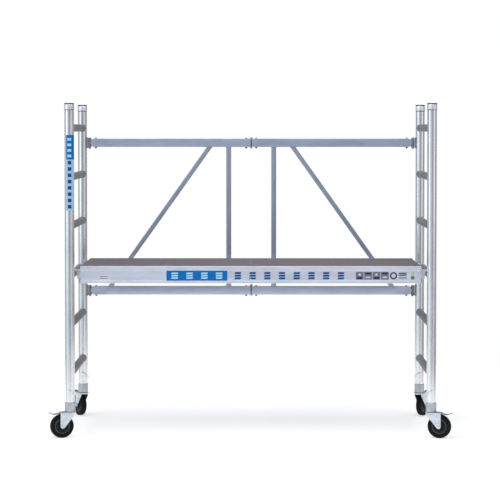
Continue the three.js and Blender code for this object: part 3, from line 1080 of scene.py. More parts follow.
@dataclass
class Caster:
    """A swivel caster with its stem, collar, pressed fork, brake pedal, wheel and locking pin."""

    end: End
    side: Side
    heading: float
    wheel: float = 0.0625
    trail: float = 0.045
    half_tyre: float = 0.016
    crown: float = 0.1355
    sheet: float = 0.003
    leg: float = 0.021
    hinge: Point = (0.046, 0.0, 0.1295)
    pedal_half: float = 0.015

    def __post_init__(self) -> None:
        """Works out where the caster stands and which way it trails."""
        self.name = f"{self.end.label}_{self.side.label}"
        self.stand = shift(self.side.sign * HALF_BAY, self.end.sign * HALF_WIDTH + SHIFT, 0)
        self.trailing = self.stand @ about_z(self.heading)
        self.axle = shift(self.trail, 0, self.wheel) @ ALONG_Y
        self.body = f"{self.name}_caster"

    def stem(self) -> None:
        """The plated stem: a chamfered collar, a plug in the tube and the headed kingpin."""
        maker = MeshMaker(self.stand)
        under = self.crown - self.sheet
        maker.lathe([(0, under - 0.006), (0.0095, under - 0.006), (0.012, under - 0.0045),
                     (0.012, under - 0.0011), (0.007, under - 0.0010), (0.007, 0.137),
                     (0.0262, 0.137), (0.028, 0.1388), (0.028, 0.1788), (0.0274, 0.1796),
                     (0.0274, 0.1812), (0.028, 0.1820), (0.028, 0.1852), (0.0268, 0.1865),
                     (0.0215, 0.1865), (0.0215, 0.289), (0.0185, 0.292), (0, 0.292)], 56)
        name = f"{self.name}_caster_stem"
        maker.piece(name, f"{self.side.label}_frame", COLLAR, [name], crease=30,
                    cutters=[pin_drill(self.stand)])

    def fork(self) -> None:
        """The pressed fork: crown, swivel race, two embossed legs, and the axle bolt and nut."""
        maker = MeshMaker(self.trailing)
        reach, leg = self.trail + 0.012, self.leg
        crown = [(reach, -leg), (reach, leg), (0.014, leg + 0.008),
                 *arc((0, 0), 0.032, 60, 300, 22), (0.014, -leg - 0.008)]
        maker.prism(densified(softened(crown, 0.003, 2), 0.003), self.crown - self.sheet,
                    self.crown, hole=0.0073)
        under = self.crown - self.sheet
        maker.lathe([(0.0165, under + 0.0002), (0.0165, under - 0.0040), (0.0200, under - 0.0058),
                     (0.0262, under - 0.0058), (0.0290, under - 0.0035),
                     (0.0290, under + 0.0002)], 48)
        top = self.crown - self.sheet / 2
        outline = [(-0.017, top), (-0.017, top - 0.016), (self.trail - 0.0095, self.wheel - 0.008),
                   *arc((self.trail, self.wheel), 0.012, 220, 360, 12), (self.trail + 0.012, top)]
        emboss = [(-0.009, top - 0.009), (-0.009, top - 0.013),
                  (self.trail - 0.004, self.wheel + 0.014),
                  (self.trail + 0.005, self.wheel + 0.014), (self.trail + 0.005, top - 0.009)]
        for sign in (-1, 1):
            face = sign * leg
            plate = sorted((face - 0.0015, face + 0.0015))
            maker.prism(softened(outline, 0.0012, 2), -plate[1], -plate[0], ALONG_Y)
            rib = sorted((face, face + sign * 0.0022))
            maker.prism(softened(emboss, 0.004, 4), -rib[1], -rib[0], ALONG_Y)
        maker.rod(0.006, -leg, leg, 24, self.axle)
        for sign in (-1, 1):
            face = self.axle @ facing(sign)
            maker.lathe([(0, leg + 0.001), (0.0098, leg + 0.001), (0.0098, leg + 0.0026),
                         (0, leg + 0.0026)], 32, face)
            maker.hexagon(0.0165, leg + 0.0024, leg + 0.0072, face)
            head = shift(*self.hinge) @ ALONG_Y @ facing(sign)
            maker.lathe([(0, leg + 0.0012), (0.0044, leg + 0.0012), (0.0040, leg + 0.0026),
                         (0.0022, leg + 0.0034), (0, leg + 0.0036)], 20, head)
        maker.lathe([(0, leg), (0.0042, leg), (0.0042, leg + 0.0078), (0, leg + 0.0084)], 20,
                    self.axle)
        name = f"{self.name}_fork"
        maker.piece(name, self.body, ZINC, [name], crease=30, edge=0.0005)

    def pedal(self) -> None:
        """The bent brake pedal with turned-down flanges, tread bars and its cross pin."""
        maker = MeshMaker(self.trailing)
        line = spline([(0.047, 0, 0.1312), (0.063, 0, 0.1302), (0.084, 0, 0.1276),
                       (0.096, 0, 0.1290), (0.107, 0, 0.1346), (0.115, 0, 0.1362)], 6)
        rings = []
        for i, point in enumerate(line):
            share = i / (len(line) - 1)
            round_off = math.sqrt(max(0.12, 1 - ((share - 0.8) / 0.21) ** 2))
            width = self.pedal_half * (1.0 if share < 0.8 else round_off)
            rings.append([(point.x, y * width, point.z + z) for y, z in
                          [(-1, -0.0024), (-0.96, -0.0005), (-0.9, 0), (0.9, 0), (0.96, -0.0005),
                           (1, -0.0024), (0.9, -0.0026), (-0.9, -0.0026)]])
        maker.rings(rings, UP)
        for x, z in ((0.1035, 0.1330), (0.1075, 0.1350), (0.1112, 0.1359)):
            maker.lathe([(0, -0.009), (0.0007, -0.0086), (0.0007, 0.0086), (0, 0.009)], 10,
                        shift(x, 0, z) @ ALONG_Y)
        reach = self.leg - 0.0018
        maker.rod(0.0026, -reach, reach, 20, shift(*self.hinge) @ ALONG_Y)
        name = f"{self.name}_brake_pedal"
        maker.piece(name, f"{self.name}_pedal", PEDAL, [name], crease=35)

    def rolling(self) -> None:
        """The rubber tyre and the stepped wheel centre with its grey hub covers, whose grey,
        lighter than the black centre, is a painted highlight on the centre's rings.
        """
        half, out = self.half_tyre, self.wheel
        place = self.trailing @ self.axle
        shoulder = [(0.0470, half - 0.0030), (0.0500, half - 0.0014), (0.0535, half - 0.0002),
                    (0.0560, half - 0.0004), (0.0568, half - 0.0010), (0.0585, half - 0.0012),
                    (0.0605, half - 0.0030), (0.0618, half - 0.0056), (out - 0.0002, half - 0.0085)]
        tread = [(out, 0.0040), (out, 0.0006), (out - 0.0003, 0.0)]
        upper = [*shoulder, *tread]
        lower = [(r, -z) for r, z in reversed(upper[:-1])]
        tyre = MeshMaker(place)
        tyre.lathe([*upper, *lower], 96)
        name = f"{self.name}_tyre"
        tyre.piece(name, f"{self.name}_wheel", TYRE, [name], crease=30)
        face = [(0.0467, half - 0.0040), (0.0455, half - 0.0022), (0.0430, half - 0.0024),
                (0.0415, half - 0.0060), (0.0395, half - 0.0072), (0.0330, half - 0.0074),
                (0.0322, half - 0.0062), (0.0300, half - 0.0062), (0.0292, half - 0.0074),
                (0.0215, half - 0.0075), (0.0196, half - 0.0052), (0.0160, half - 0.0014),
                (0.0150, half + 0.0012), (0.0140, half + 0.0015), (0.0063, half + 0.0015)]
        centre = MeshMaker(place)
        centre.lathe([*face, *[(r, -z) for r, z in reversed(face)]], 96)
        name = f"{self.name}_wheel_centre"
        centre.piece(name, f"{self.name}_wheel", RIM, [name], crease=30)
        # Grey rings drawn as hub covers, with their bolts: their grey, lighter than the black
        # centre, is a painted highlight on the centre's rings.
        covers_painted_highlight = MeshMaker(place)
        for sign in (-1, 1):
            flip = facing(sign)
            covers_painted_highlight.lathe([(0.0330, half - 0.0076), (0.0405, half - 0.0074), (0.0409, half - 0.0060),
                          (0.0400, half - 0.0056), (0.0342, half - 0.0060)], 96, flip)
            for turn in range(0, 360, 60):
                bolt = about_z(turn) @ shift(0.0255, 0, 0)
                covers_painted_highlight.lathe([(0, half - 0.0080), (0.0022, half - 0.0080), (0.0022, half - 0.0066),
                              (0.0014, half - 0.0060), (0, half - 0.0058)], 16, flip @ bolt)
        covers_painted_highlight.piece(f"{self.name}_wheel_covers", f"{self.name}_wheel", HUB_PAINTED_HIGHLIGHT)

    def pin(self) -> None:
        """The locking pin with its head and the wire bow that lies back along the tube."""
        maker = MeshMaker(self.stand @ shift(0, 0, PIN_HEIGHT) @ flipped(self.side))
        maker.lathe([(0, -0.0335), (0.0032, -0.0335), (0.004, -0.0325), (0.004, 0.0330),
                     (0.0033, 0.0338), (0, 0.0338)], 24, ALONG_Y)
        maker.lathe([(0, -0.0340), (0.0052, -0.0340), (0.006, -0.0332), (0.006, -0.0278),
                     (0.0052, -0.0270), (0, -0.0270)], 24, ALONG_Y)
        bow = spline([(0, -0.032, 0), (-0.02, -0.034, -0.006), (-0.03, -0.02, -0.018),
                      (-0.03, 0.002, -0.032), (-0.0275, 0.016, -0.042)], 8)
        maker.sweep(bow, 0.0015, 12)
        name = f"{self.name}_locking_pin"
        maker.piece(name, f"{self.name}_pin", ZINC, [name], crease=35)

    def build(self) -> None:
        """Builds the whole caster."""
        for part in (self.stem, self.fork, self.pedal, self.rolling, self.pin):
            part()


# ---------------------------------------------------------------- folding brace


BRACE_HEIGHTS = (0.716, 1.550)
KNUCKLE_SET_BACK = 0.0215


@dataclass
class BraceHalf:
    """One half of the rear brace: two beams, a post, a diagonal, their welds and hinge fittings."""

    side: Side
    knuckles: tuple[tuple[float, float], ...]
    heights: tuple[float, float] = BRACE_HEIGHTS
    beam: tuple[float, float] = (0.048, 0.025)
    post: tuple[float, float, float] = (0.127, 0.028, 0.022)
    diagonal: tuple[float, float, float, float] = (0.2345, 0.794, 0.025, 0.020)
    wall: float = 0.002
    corner: float = 0.9115
    span: tuple[float, float] = (0.003, 0.8945)

    def __post_init__(self) -> None:
        """Works out the half's own frame, with its beams' axis plane at y = 0."""
        self.place = shift(0, HALF_WIDTH + SHIFT, 0) @ flipped(self.side)
        self.body = f"{self.side.label}_brace"

    def beams(self) -> None:
        """Both beams, as rounded rectangular tubes, shown in place of the model's half."""
        tall, deep = self.beam
        outline = rounded_rectangle(tall, deep, 0.003)
        bore = rounded_rectangle(tall - 2 * self.wall, deep - 2 * self.wall, 0.0012)
        maker = MeshMaker(self.place)
        for z in self.heights:
            maker.tube(outline, bore, self.span[0], self.span[1], shift(0, 0, z) @ ALONG_X)
        maker.piece(f"{self.side.label}_brace_beams", self.body, BRACE_X,
                    [f"{self.side.label}_brace_frame"], crease=40)

    def struts(self) -> None:
        """The post and the diagonal between the beams, with a weld round each end."""
        low, high = self.heights[0] + self.beam[0] / 2, self.heights[1] - self.beam[0] / 2
        x, wide, deep = self.post
        top_x, foot_x, thick, depth = self.diagonal
        maker = MeshMaker(self.place)
        maker.tube(rounded_rectangle(wide, deep, 0.0022),
                   rounded_rectangle(wide - 0.003, deep - 0.003, 0.001), low, high, shift(x, 0, 0))
        lean = (foot_x - top_x) / (low - high)
        stretch = math.hypot(lean, 1.0)

        def cut(section: Sequence[Flat], z: float) -> list[Point]:
            """The diagonal's section where it is cut level.

            Args:
                section: the section square to the tube.
                z: the cut's height.

            Returns:
                The cut's points.
            """
            middle = top_x + lean * (z - high)
            return [(middle + u * stretch, v, z) for u, v in section]

        outline = rounded_rectangle(thick, depth, 0.0022)
        bore = rounded_rectangle(thick - 0.003, depth - 0.003, 0.001)
        maker.rings([cut(outline, low), cut(outline, high), cut(bore, high), cut(bore, low)], UP,
                    ends=False)
        maker.piece(f"{self.side.label}_brace_struts", self.body, BRACE_Z, crease=40)
        beads = MeshMaker(self.place)
        for z, lift in ((low, 0.0006), (high, -0.0006)):
            for section in ([(x + u, v, z + lift) for u,
                             v in densified(rounded_rectangle(wide, deep, 0.0022), 0.002)],
                            [(px, py, z + lift) for px, py,
                             _ in cut(densified(outline, 0.002), z)]):
                beads.sweep(section, ripple(0.0017, 26), 8, closed=True)
        beads.piece(f"{self.side.label}_brace_welds", self.body, WELD)

    def fittings(self) -> None:
        """The corner eyes on their tongues, the side plates, and the centre hinge's knuckles."""
        maker = MeshMaker(self.place)
        start, end = self.span
        tongue = [(end - 0.045, -0.006), (self.corner - 0.0075, -0.006),
                  (self.corner - 0.0075, 0.006), (end - 0.045, 0.006)]
        for z in self.heights:
            maker.lathe([(0.0053, -0.019), (0.0090, -0.019), (0.0095, -0.0185), (0.0095, 0.0185),
                         (0.0090, 0.019), (0.0053, 0.019)], 40, shift(self.corner, 0, z))
            maker.prism(tongue, -0.019, 0.019, shift(0, 0, z))
            for low, high in self.knuckles:
                maker.lathe([(0.0053, low), (0.0077, low), (0.0082, low + 0.0005),
                             (0.0082, high - 0.0005), (0.0077, high),
                             (0.0053, high)], 40, shift(0, KNUCKLE_SET_BACK, z))
                leaf = softened([(0.0015, 0.0126), (0.040, 0.0126), (0.040, 0.0160),
                                 (0.0098, 0.0160), (0.0088, 0.0235), (0.0060, 0.0250),
                                 (0.0058, 0.0165), (0.0015, 0.0155)], 0.0008, 2)
                maker.prism(leaf, low, high, shift(0, 0, z))
        maker.piece(f"{self.side.label}_brace_fittings", self.body, CAST, crease=32, edge=0.0004)

    def cheeks(self) -> None:
        """The round-ended plates on both sides of each beam's outer end."""
        maker = MeshMaker(self.place)
        cheek = [(-0.035, -0.0222), (0.030, -0.0222), *arc((0.030, 0.0), 0.0222, -90, 90, 14),
                 (-0.035, 0.0222)]
        for z in self.heights:
            for sign in (-1, 1):
                face = shift(self.span[1] - 0.040, sign * (self.beam[1] / 2 + 0.0006), z)
                maker.prism(softened(cheek, 0.001, 2), -0.0006, 0.0006, face @ ALONG_Y)
        maker.piece(f"{self.side.label}_brace_cheeks", self.body, BRACE_X, crease=32, edge=0.0003)

    def bolts(self) -> None:
        """The through bolts near both hinges, each with a domed head above and a nut below."""
        maker = MeshMaker(self.place)
        half = self.beam[0] / 2
        for z in self.heights:
            for x in (0.028, self.corner - 0.035):
                place = shift(x, 0, z)
                maker.lathe([(0, half), (0.0075, half), (0.0075, half + 0.0012),
                             (0.0052, half + 0.0014), (0.0050, half + 0.0032),
                             (0.0030, half + 0.0044), (0, half + 0.0046)], 28, place)
                maker.lathe([(0, -half), (0.0075, -half), (0.0075, -half - 0.0012),
                             (0, -half - 0.0012)], 28, place)
                maker.hexagon(0.0116, -half - 0.0062, -half - 0.0010, place)
                maker.lathe([(0, -half - 0.0060), (0.0028, -half - 0.0060),
                             (0.0028, -half - 0.0085), (0, -half - 0.0092)], 18, place)
        maker.piece(f"{self.side.label}_brace_bolts", self.body, DARK_ZINC)

    def plugs(self) -> None:
        """The black plugs in the beams' inner ends."""
        maker = MeshMaker(self.place)
        tall, deep = self.beam
        for z in self.heights:
            shape = rounded_rectangle(tall - 0.0044, deep - 0.0044, 0.001)
            maker.prism(shape, self.span[0] + 0.0006, self.span[0] + 0.009,
                        shift(0, 0, z) @ ALONG_X)
        maker.piece(f"{self.side.label}_brace_plugs", self.body, PLASTIC, edge=0.0003)

    def brackets(self) -> None:
        """The brackets welded on the rear upright: saddle, two ears, and the bolt between them."""
        for level, z in zip(("lower", "upper"), self.heights):
            maker = MeshMaker(shift(self.side.sign * HALF_BAY, HALF_WIDTH + SHIFT, z)
                              @ flipped(self.side)
                              @ Matrix.Diagonal((-1, 1, 1, 1)))
            saddle = [*arc((0, 0), 0.0253, -36, 36, 12),
                      *softened([(0.029, 0.015), (0.029, -0.015)], 0.002, 1)]
            maker.prism(saddle, -0.0308, 0.0308)
            bolt_x = HALF_BAY - self.corner
            ear = [(0.026, -0.013), *arc((bolt_x, 0), 0.0095, -90, 90, 14), (0.026, 0.013)]
            for low in (0.0198, -0.0248):
                maker.prism(ear, low, low + 0.005)
            bolt = shift(bolt_x, 0, 0)
            maker.lathe([(0, -0.0312), (0.0042, -0.0312), (0.005, -0.0300), (0.005, 0.0280),
                         (0, 0.0280)],
                        32, bolt)
            maker.lathe([(0, 0.0243), (0.008, 0.0243), (0.008, 0.0258), (0.0068, 0.0282),
                         (0.0040, 0.0298), (0, 0.0298)], 32, bolt)
            maker.hexagon(0.0168, -0.0298, -0.0244, bolt)
            maker.lathe([(0, -0.0300), (0.0050, -0.0300), (0.0046, -0.0332), (0.0024, -0.0350),
                         (0, -0.0354)], 24, bolt)
            name = f"{self.side.label}_{level}_hinge_bracket"
            maker.piece(name, f"{self.side.label}_frame", CAST, [name], crease=32, edge=0.0004)
            beads = MeshMaker(maker.place)
            for edge_y in (-1, 1):
                path = [(0.0205, edge_y * 0.0158, -0.029 + 0.058 * i / 40) for i in range(41)]
                beads.sweep(path, ripple(0.0020, 13), 10)
            beads.piece(f"{name}_welds", f"{self.side.label}_frame", WELD)

    def build(self) -> None:
        """Builds the half and its brackets."""
        for part in (self.beams, self.struts, self.fittings, self.cheeks, self.bolts, self.plugs,
                     self.brackets):
            part()


@dataclass
class CentrePins:
    """The two pins of the centre hinge, domed above and riveted over below."""

    heights: tuple[float, float] = BRACE_HEIGHTS

    def build(self) -> None:
        """Builds both pins."""
        for level, z in zip(("lower", "upper"), self.heights):
            maker = MeshMaker(shift(0, HALF_WIDTH + SHIFT + KNUCKLE_SET_BACK, z))
            maker.lathe([(0, -0.033), (0.0062, -0.0326), (0.0074, -0.0310), (0.0074, -0.0262),
                         (0.0070, -0.025), (0.005, -0.025), (0.005, 0.025), (0.0082, 0.025),
                         (0.0082, 0.0282), (0.0070, 0.0312), (0.0045, 0.0328), (0, 0.033)], 40)
            name = f"{level}_centre_hinge_pin"
            maker.piece(name, "left_brace", ZINC, [name], crease=35)


# ---------------------------------------------------------------- working platform


STICKER = 0.00025
STICKER_OVER = 0.00045  # one that lies on another


@dataclass
class Platform:
    """The lift-off platform: side beams, hook beams, cross members, deck board and its stickers."""

    half_length: float = 0.903
    half_width: float = 0.300
    top: float = 0.9015
    tall: float = 0.091
    wall: float = 0.0026
    board: float = 0.009
    claw_places: tuple[float, float] = (-0.205, 0.205)
    claw_half: float = 0.017
    claw_inner: float = 0.0242
    claw_sheet: float = 0.0055
    claw_centre: float = -0.0039
    claw_tip: float = 0.016
    deck_rivet_rows: tuple[float, ...] = (-0.25, -0.085, 0.085, 0.25)
    deck_rivet_end: float = 0.885
    beam_rivet_end: float = 0.888
    hook_beam_size: tuple[float, float, float, float] = (0.034, 0.838, 0.888, 0.003)
    sticker_middle: float = 0.8510
    sticker_sink: float = 0.0003
    cross_places: tuple[float, float, float] = (-0.45, 0.0, 0.45)

    def __post_init__(self) -> None:
        """Works out the platform's own frame and the recessed face that takes the stickers."""
        self.place = shift(0, SHIFT, 0)
        self.foot = self.top - self.tall
        self.face = self.half_width - 0.0016

    def side_beams(self) -> None:
        """Both side beams, each one long extrusion with its beads, grooves, ledge and foot."""
        out, foot, top, w = self.half_width, self.foot, self.top, self.wall
        ledge = top - self.board - 0.0003
        outer = [(out - 0.030, foot), *arc((out - 0.002, foot + 0.002), 0.002, -90, 0, 4),
                 (out, foot + 0.0105), (out - 0.0005, foot + 0.0118),
                 (out - 0.0016, foot + 0.0130), (out - 0.0016, foot + 0.0160),
                 (out - 0.0021, foot + 0.0165), (out - 0.0021, foot + 0.0172),
                 (out - 0.0016, foot + 0.0177), (out - 0.0016, top - 0.0232),
                 (out - 0.0006, top - 0.0218), (out - 0.0004, top - 0.0212),
                 (out - 0.0004, top - 0.0172), (out - 0.0008, top - 0.0162),
                 (out - 0.0018, top - 0.0156), (out - 0.0012, top - 0.0143),
                 (out - 0.0002, top - 0.0134), (out, top - 0.0126),
                 *arc((out - 0.0035, top - 0.0035), 0.0035, 0, 90, 6), (out - 0.008, top)]
        inner = [(out - 0.008, ledge), (out - 0.030, ledge), (out - 0.030, ledge - w),
                 (out - 0.0016 - w, ledge - w), (out - 0.0016 - w, foot + w),
                 (out - 0.030, foot + w)]
        for name, sign in (("front", -1), ("rear", 1)):
            maker = MeshMaker(self.place @ Matrix.Diagonal((1, sign, 1, 1)))
            rings = [[(x, y, z) for y, z in [*outer, *inner]]
                     for x in (-self.half_length, self.half_length)]
            maker.rings(rings, UP)
            node = f"platform_{name}_beam"
            maker.piece(node, "platform", BEAM, [node], crease=24)

    def hook_beam(self, side: Side) -> None:
        """An end beam with its two claws over the rung, and the rivets that hold them.

        Args:
            side: the end that it is at.
        """
        maker = MeshMaker(self.place @ flipped(side))
        depth, low, high, wall = self.hook_beam_size
        back, front = self.half_length - depth, self.half_length
        inside = self.half_width - self.wall - 0.0016 - 0.0003
        channel = [(back, low), (front, low), (front, high), (back, high), (back, high - wall),
                   (front - wall, high - wall), (front - wall, low + wall), (back, low + wall)]
        maker.prism(softened(channel, 0.0012, 2), -inside, inside, ALONG_Y)
        inner, centre, tip = self.claw_inner, self.claw_centre, self.claw_tip
        outer, root = inner + self.claw_sheet, self.half_length - 0.001 - HALF_BAY
        claw = [(root, centre + outer - 0.002), (-0.006, centre + outer),
                *arc((0, centre), outer, 90, 0, 12), (outer, -tip + 0.002), (inner + 0.0015, -tip),
                (inner, -tip + 0.003), *arc((0, centre), inner, 0, 180, 24),
                (-inner, -tip - 0.004), (-inner - 0.005, -tip - 0.012), (root, -tip - 0.012)]
        for y in self.claw_places:
            maker.prism(claw, -self.claw_half, self.claw_half,
                        shift(HALF_BAY, y, RUNG_PLACES[2]) @ ALONG_Y)
            for dy in (-0.010, 0.010):
                rivet = shift(HALF_BAY + root + 0.0102, y + dy,
                              RUNG_PLACES[2] + centre + outer - 0.0018)
                maker.lathe([(0, 0), (0.0036, 0), (0.0032, 0.0012), (0.0018, 0.0019), (0, 0.0020)],
                            20, rivet)
        name = f"platform_{side.label}_hook_beam"
        maker.piece(name, "platform", HOOK_PAINTED_LIGHT, [name], crease=30, edge=0.0005)

    def end_plugs(self) -> None:
        """Thin black plugs on the side beams' ends."""
        for side in Side:
            maker = MeshMaker(self.place @ flipped(side))
            for sign in (-1, 1):
                y = sign * (self.half_width - 0.0135)
                outline = rounded_rectangle(0.030, 0.026, 0.002)
                place = shift(self.half_length + 0.0002, y, self.foot + 0.0150) @ ALONG_X
                maker.prism([(-v, u) for u, v in outline], 0.0, 0.0022, place)
            maker.piece(f"platform_{side.label}_end_plugs", "platform", PLASTIC, edge=0.0004)

    def deck(self) -> None:
        """The deck board with eased edges, in place between the side beams."""
        maker = MeshMaker(self.place)
        reach = self.half_width - 0.0083
        outline = rounded_rectangle(self.half_length * 2, reach * 2, 0.003, 3)
        maker.prism(outline, self.top - self.board, self.top - 0.0004)
        maker.piece("platform_deck", "platform", DECK, ["platform_deck"], edge=0.0006)
        screws = MeshMaker(self.place)
        for x in (-self.deck_rivet_end, *self.cross_places, self.deck_rivet_end):
            for y in self.deck_rivet_rows:
                screws.lathe([(0, -0.0008), (0.0042, -0.0008), (0.0042, 0.0), (0.0034, 0.0003),
                              (0.0012, 0.0003), (0.0010, -0.0002),
                              (0, -0.0002)], 24, shift(x, y, self.top - 0.0004))
        screws.piece("platform_deck_rivets", "platform", HOOK_PAINTED_LIGHT, crease=35)

    def rivets(self) -> None:
        """The domed rivets on the side beams' outer faces, at the cross members and ends."""
        maker = MeshMaker(self.place)
        for sign in (-1, 1):
            for x in (-self.beam_rivet_end, *self.cross_places, self.beam_rivet_end):
                for z in (self.foot + 0.0215, self.top - 0.0275):
                    place = shift(x, sign * self.face, z) @ ALONG_Y @ facing(-sign)
                    maker.lathe([(0, -0.0005), (0.0034, -0.0005), (0.0034, 0.0002),
                                 (0.0026, 0.0010), (0, 0.0014)],
                                20, place)
        maker.piece("platform_rivets", "platform", HOOK_PAINTED_LIGHT)

    def label(self, name: str, finish: Finish, shapes: Sequence[Sequence[Flat]],
              thick: float = STICKER) -> None:
        """A flat sticker on the front beam's recessed face.

        Args:
            name: the piece's name.
            finish: the sticker's ink.
            shapes: outlines in X and Z.
            thick: how far it stands out, so that stickers can lie on each other.
        """
        maker = MeshMaker(self.place)
        for shape in shapes:
            maker.prism(shape, self.face - self.sticker_sink, self.face + thick, ALONG_Y)
        maker.piece(name, "platform", finish)

    def stickers(self) -> None:
        """The plain sticker band: a blue block, blue bars, grey squares, a ring and two dots."""

        def patch(x: float, z: float, width: float, height: float,
                  radius: float = 0.0015) -> list[Flat]:
            """A round-cornered patch of a width and height about x and z."""
            return [(x + u, z + v) for u, v in rounded_rectangle(width, height, radius, 3)]

        def slant(x: float, z: float, width: float, height: float,
                  lean: float = 0.006) -> list[Flat]:
            """A bar about x and z whose top leans to the right and its foot to the left."""
            return [(x - width / 2 - lean, z - height / 2), (x + width / 2 - lean, z - height / 2),
                    (x + width / 2 + lean, z + height / 2), (x - width / 2 + lean, z + height / 2)]

        middle = self.sticker_middle
        self.label("sticker_blue_block", BLUE, [patch(-0.2845, middle, 0.323, 0.0540)])
        marks = [slant(-0.402 + 0.0785 * i, middle + dz, 0.034, 0.0085, 0.002) for i in range(4)
                 for dz in (-0.0125, 0.0, 0.0125)]
        self.label("sticker_block_bars", SKY, marks, STICKER_OVER)
        bars = [slant(-0.0675 + 0.0779 * i, middle + dz, 0.033, 0.0105, 0.002) for i in range(8)
                for dz in (-0.0140, 0.0, 0.0140)]
        self.label("sticker_blue_bars", DEEP, bars)
        squares = [0.577 + 0.0444 * i for i in range(4)]
        self.label("sticker_grey_squares", GREY, [patch(x, middle, 0.0415, 0.041) for x in squares])
        self.label("sticker_square_bars", INK, [slant(x, middle - 0.012, 0.028, 0.010, 0.003)
                                                for x in squares[::2]]
                   + [patch(x, middle + 0.012, 0.032, 0.008) for x in squares[1::2]], STICKER_OVER)
        self.label("sticker_square_lights", WHITE,
                   [patch(x, middle + 0.006, 0.012, 0.010) for x in squares[::2]]
                   + [patch(x, middle - 0.008, 0.024, 0.007) for x in squares[1::2]], STICKER_OVER)
        ring = MeshMaker(self.place)
        place = shift(0.7563, -self.face, middle) @ ALONG_Y
        sink = -self.sticker_sink
        ring.lathe([(0.0118, sink), (0.0192, sink), (0.0192, STICKER), (0.0118, STICKER)], 48,
                   place)
        ring.piece("sticker_ring", "platform", INK)
        self.label("sticker_panel_bars", INK, [patch(0.8044, middle + 0.0130, 0.042, 0.0062, 0.001),
                                               patch(0.8044, middle + 0.0030, 0.042, 0.0062,
                                                     0.001)])
        self.label("sticker_panel_lines", GREY, [patch(0.8044, middle - 0.0090, 0.042, 0.0040,
                                                       0.001),
                                                 patch(0.8044, middle - 0.0160, 0.042, 0.0030,
                                                       0.001)])
        self.label("sticker_green_dot", GREEN, [circle(0.0105, 32, (0.8573, middle - 0.0100))])
        self.label("sticker_lime_dot", LIME, [circle(0.0085, 32, (0.8573, middle + 0.0120))])
        self.label("sticker_small_panel", WHITE, [patch(-0.778, 0.8400, 0.057, 0.022)])
        self.label("sticker_small_bars", GREY, [patch(-0.778, 0.8450, 0.044, 0.004),
                                                patch(-0.778, 0.8365, 0.044, 0.003)], STICKER_OVER)

    def cross_members(self) -> None:
        """Finishes the model's own cross members, which keep their shape."""
        for index in range(1, 4):
            dress(f"platform_cross_member_{index}", HOOK_PAINTED_LIGHT)

    def build(self) -> None:
        """Builds the platform and its stickers."""
        self.side_beams()
        for side in Side:
            self.hook_beam(side)
        for part in (self.end_plugs, self.deck, self.rivets, self.stickers, self.cross_members):
            part()


def dress(node: str, finish: Finish) -> None:
    """Gives one of the model's own nodes its finish and slightly eased edges.

    Args:
        node: the node's name.
        finish: its finish.
    """
    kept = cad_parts[node]
    kept.data.materials.clear()
    kept.data.materials.append(finish.material())
    ease_edges(kept, 0.0004)
    log.info("%s: kept with %s", node, finish.name)


@dataclass
class UprightSticker:
    """The plain sticker round an upright: a blue head over a pale tail with blue bars."""

    low: float = 1.198
    join: float = 1.467
    high: float = 1.596
    radius: float = 0.0251
    around: tuple[float, float] = (-125, -5)
    film: float = 0.00015
    film_over: float = 0.0003

    def wrap(self, name: str, finish: Finish, spans: Sequence[tuple[float, float, float, float]],
             lift: float) -> None:
        """Curved patches on the tube.

        Args:
            name: the piece's name.
            finish: its ink.
            spans: start and end angle in degrees, and low and high edge, for each patch.
            lift: how far the patches stand out from the tube.
        """
        place = shift(-HALF_BAY, -HALF_WIDTH + SHIFT, 0)
        maker = MeshMaker(place)
        for start, end, low, high in spans:
            steps = max(4, round((end - start) / 5))
            band = [*arc((0, 0), self.radius + lift, start, end, steps),
                    *arc((0, 0), self.radius - 0.0004, end, start, steps)]
            maker.prism(band, low, high)
        maker.piece(name, "left_frame", finish, crease=40)

    def build(self) -> None:
        """Builds the head, the tail and their plain bars."""
        self.wrap("upright_sticker_head", BLUE, [(*self.around, self.join, self.high)], self.film)
        self.wrap("upright_sticker_tail", PALE, [(*self.around, self.low, self.join)], self.film)
        head = [(-108, -60, self.join + 0.012 + 0.029 * i, self.join + 0.026 + 0.029 * i)
                for i in range(4)]
        self.wrap("upright_sticker_head_bars", SKY, head, self.film_over)
        tail = [(-104, -60, self.low + 0.012 + 0.033 * i, self.low + 0.031 + 0.033 * i)
                for i in range(8)]
        self.wrap("upright_sticker_tail_bars", DEEP, tail, self.film_over)


# ---------------------------------------------------------------- studio


def looking(place: Point, aim: Point) -> Euler:
    """The rotation of a light or camera at a place that faces a point."""
    return (Vector(aim) - Vector(place)).to_track_quat("-Z", "Y").to_euler()


@dataclass(frozen=True)
class Softbox:
    """A soft rectangular light: where it hangs, what it faces, its size and its power in watts."""

    name: str
    place: Point
    aim: Point
    size: Flat
    power: float

    def hang(self) -> None:
        """Adds the light to the scene."""
        data = bpy.data.lights.new(self.name, "AREA")
        data.shape, data.energy = "RECTANGLE", self.power
        data.size, data.size_y = self.size
        lamp = bpy.data.objects.new(self.name, data)
        lamp.location = self.place
        lamp.rotation_euler = looking(self.place, self.aim)
        bpy.context.scene.collection.objects.link(lamp)


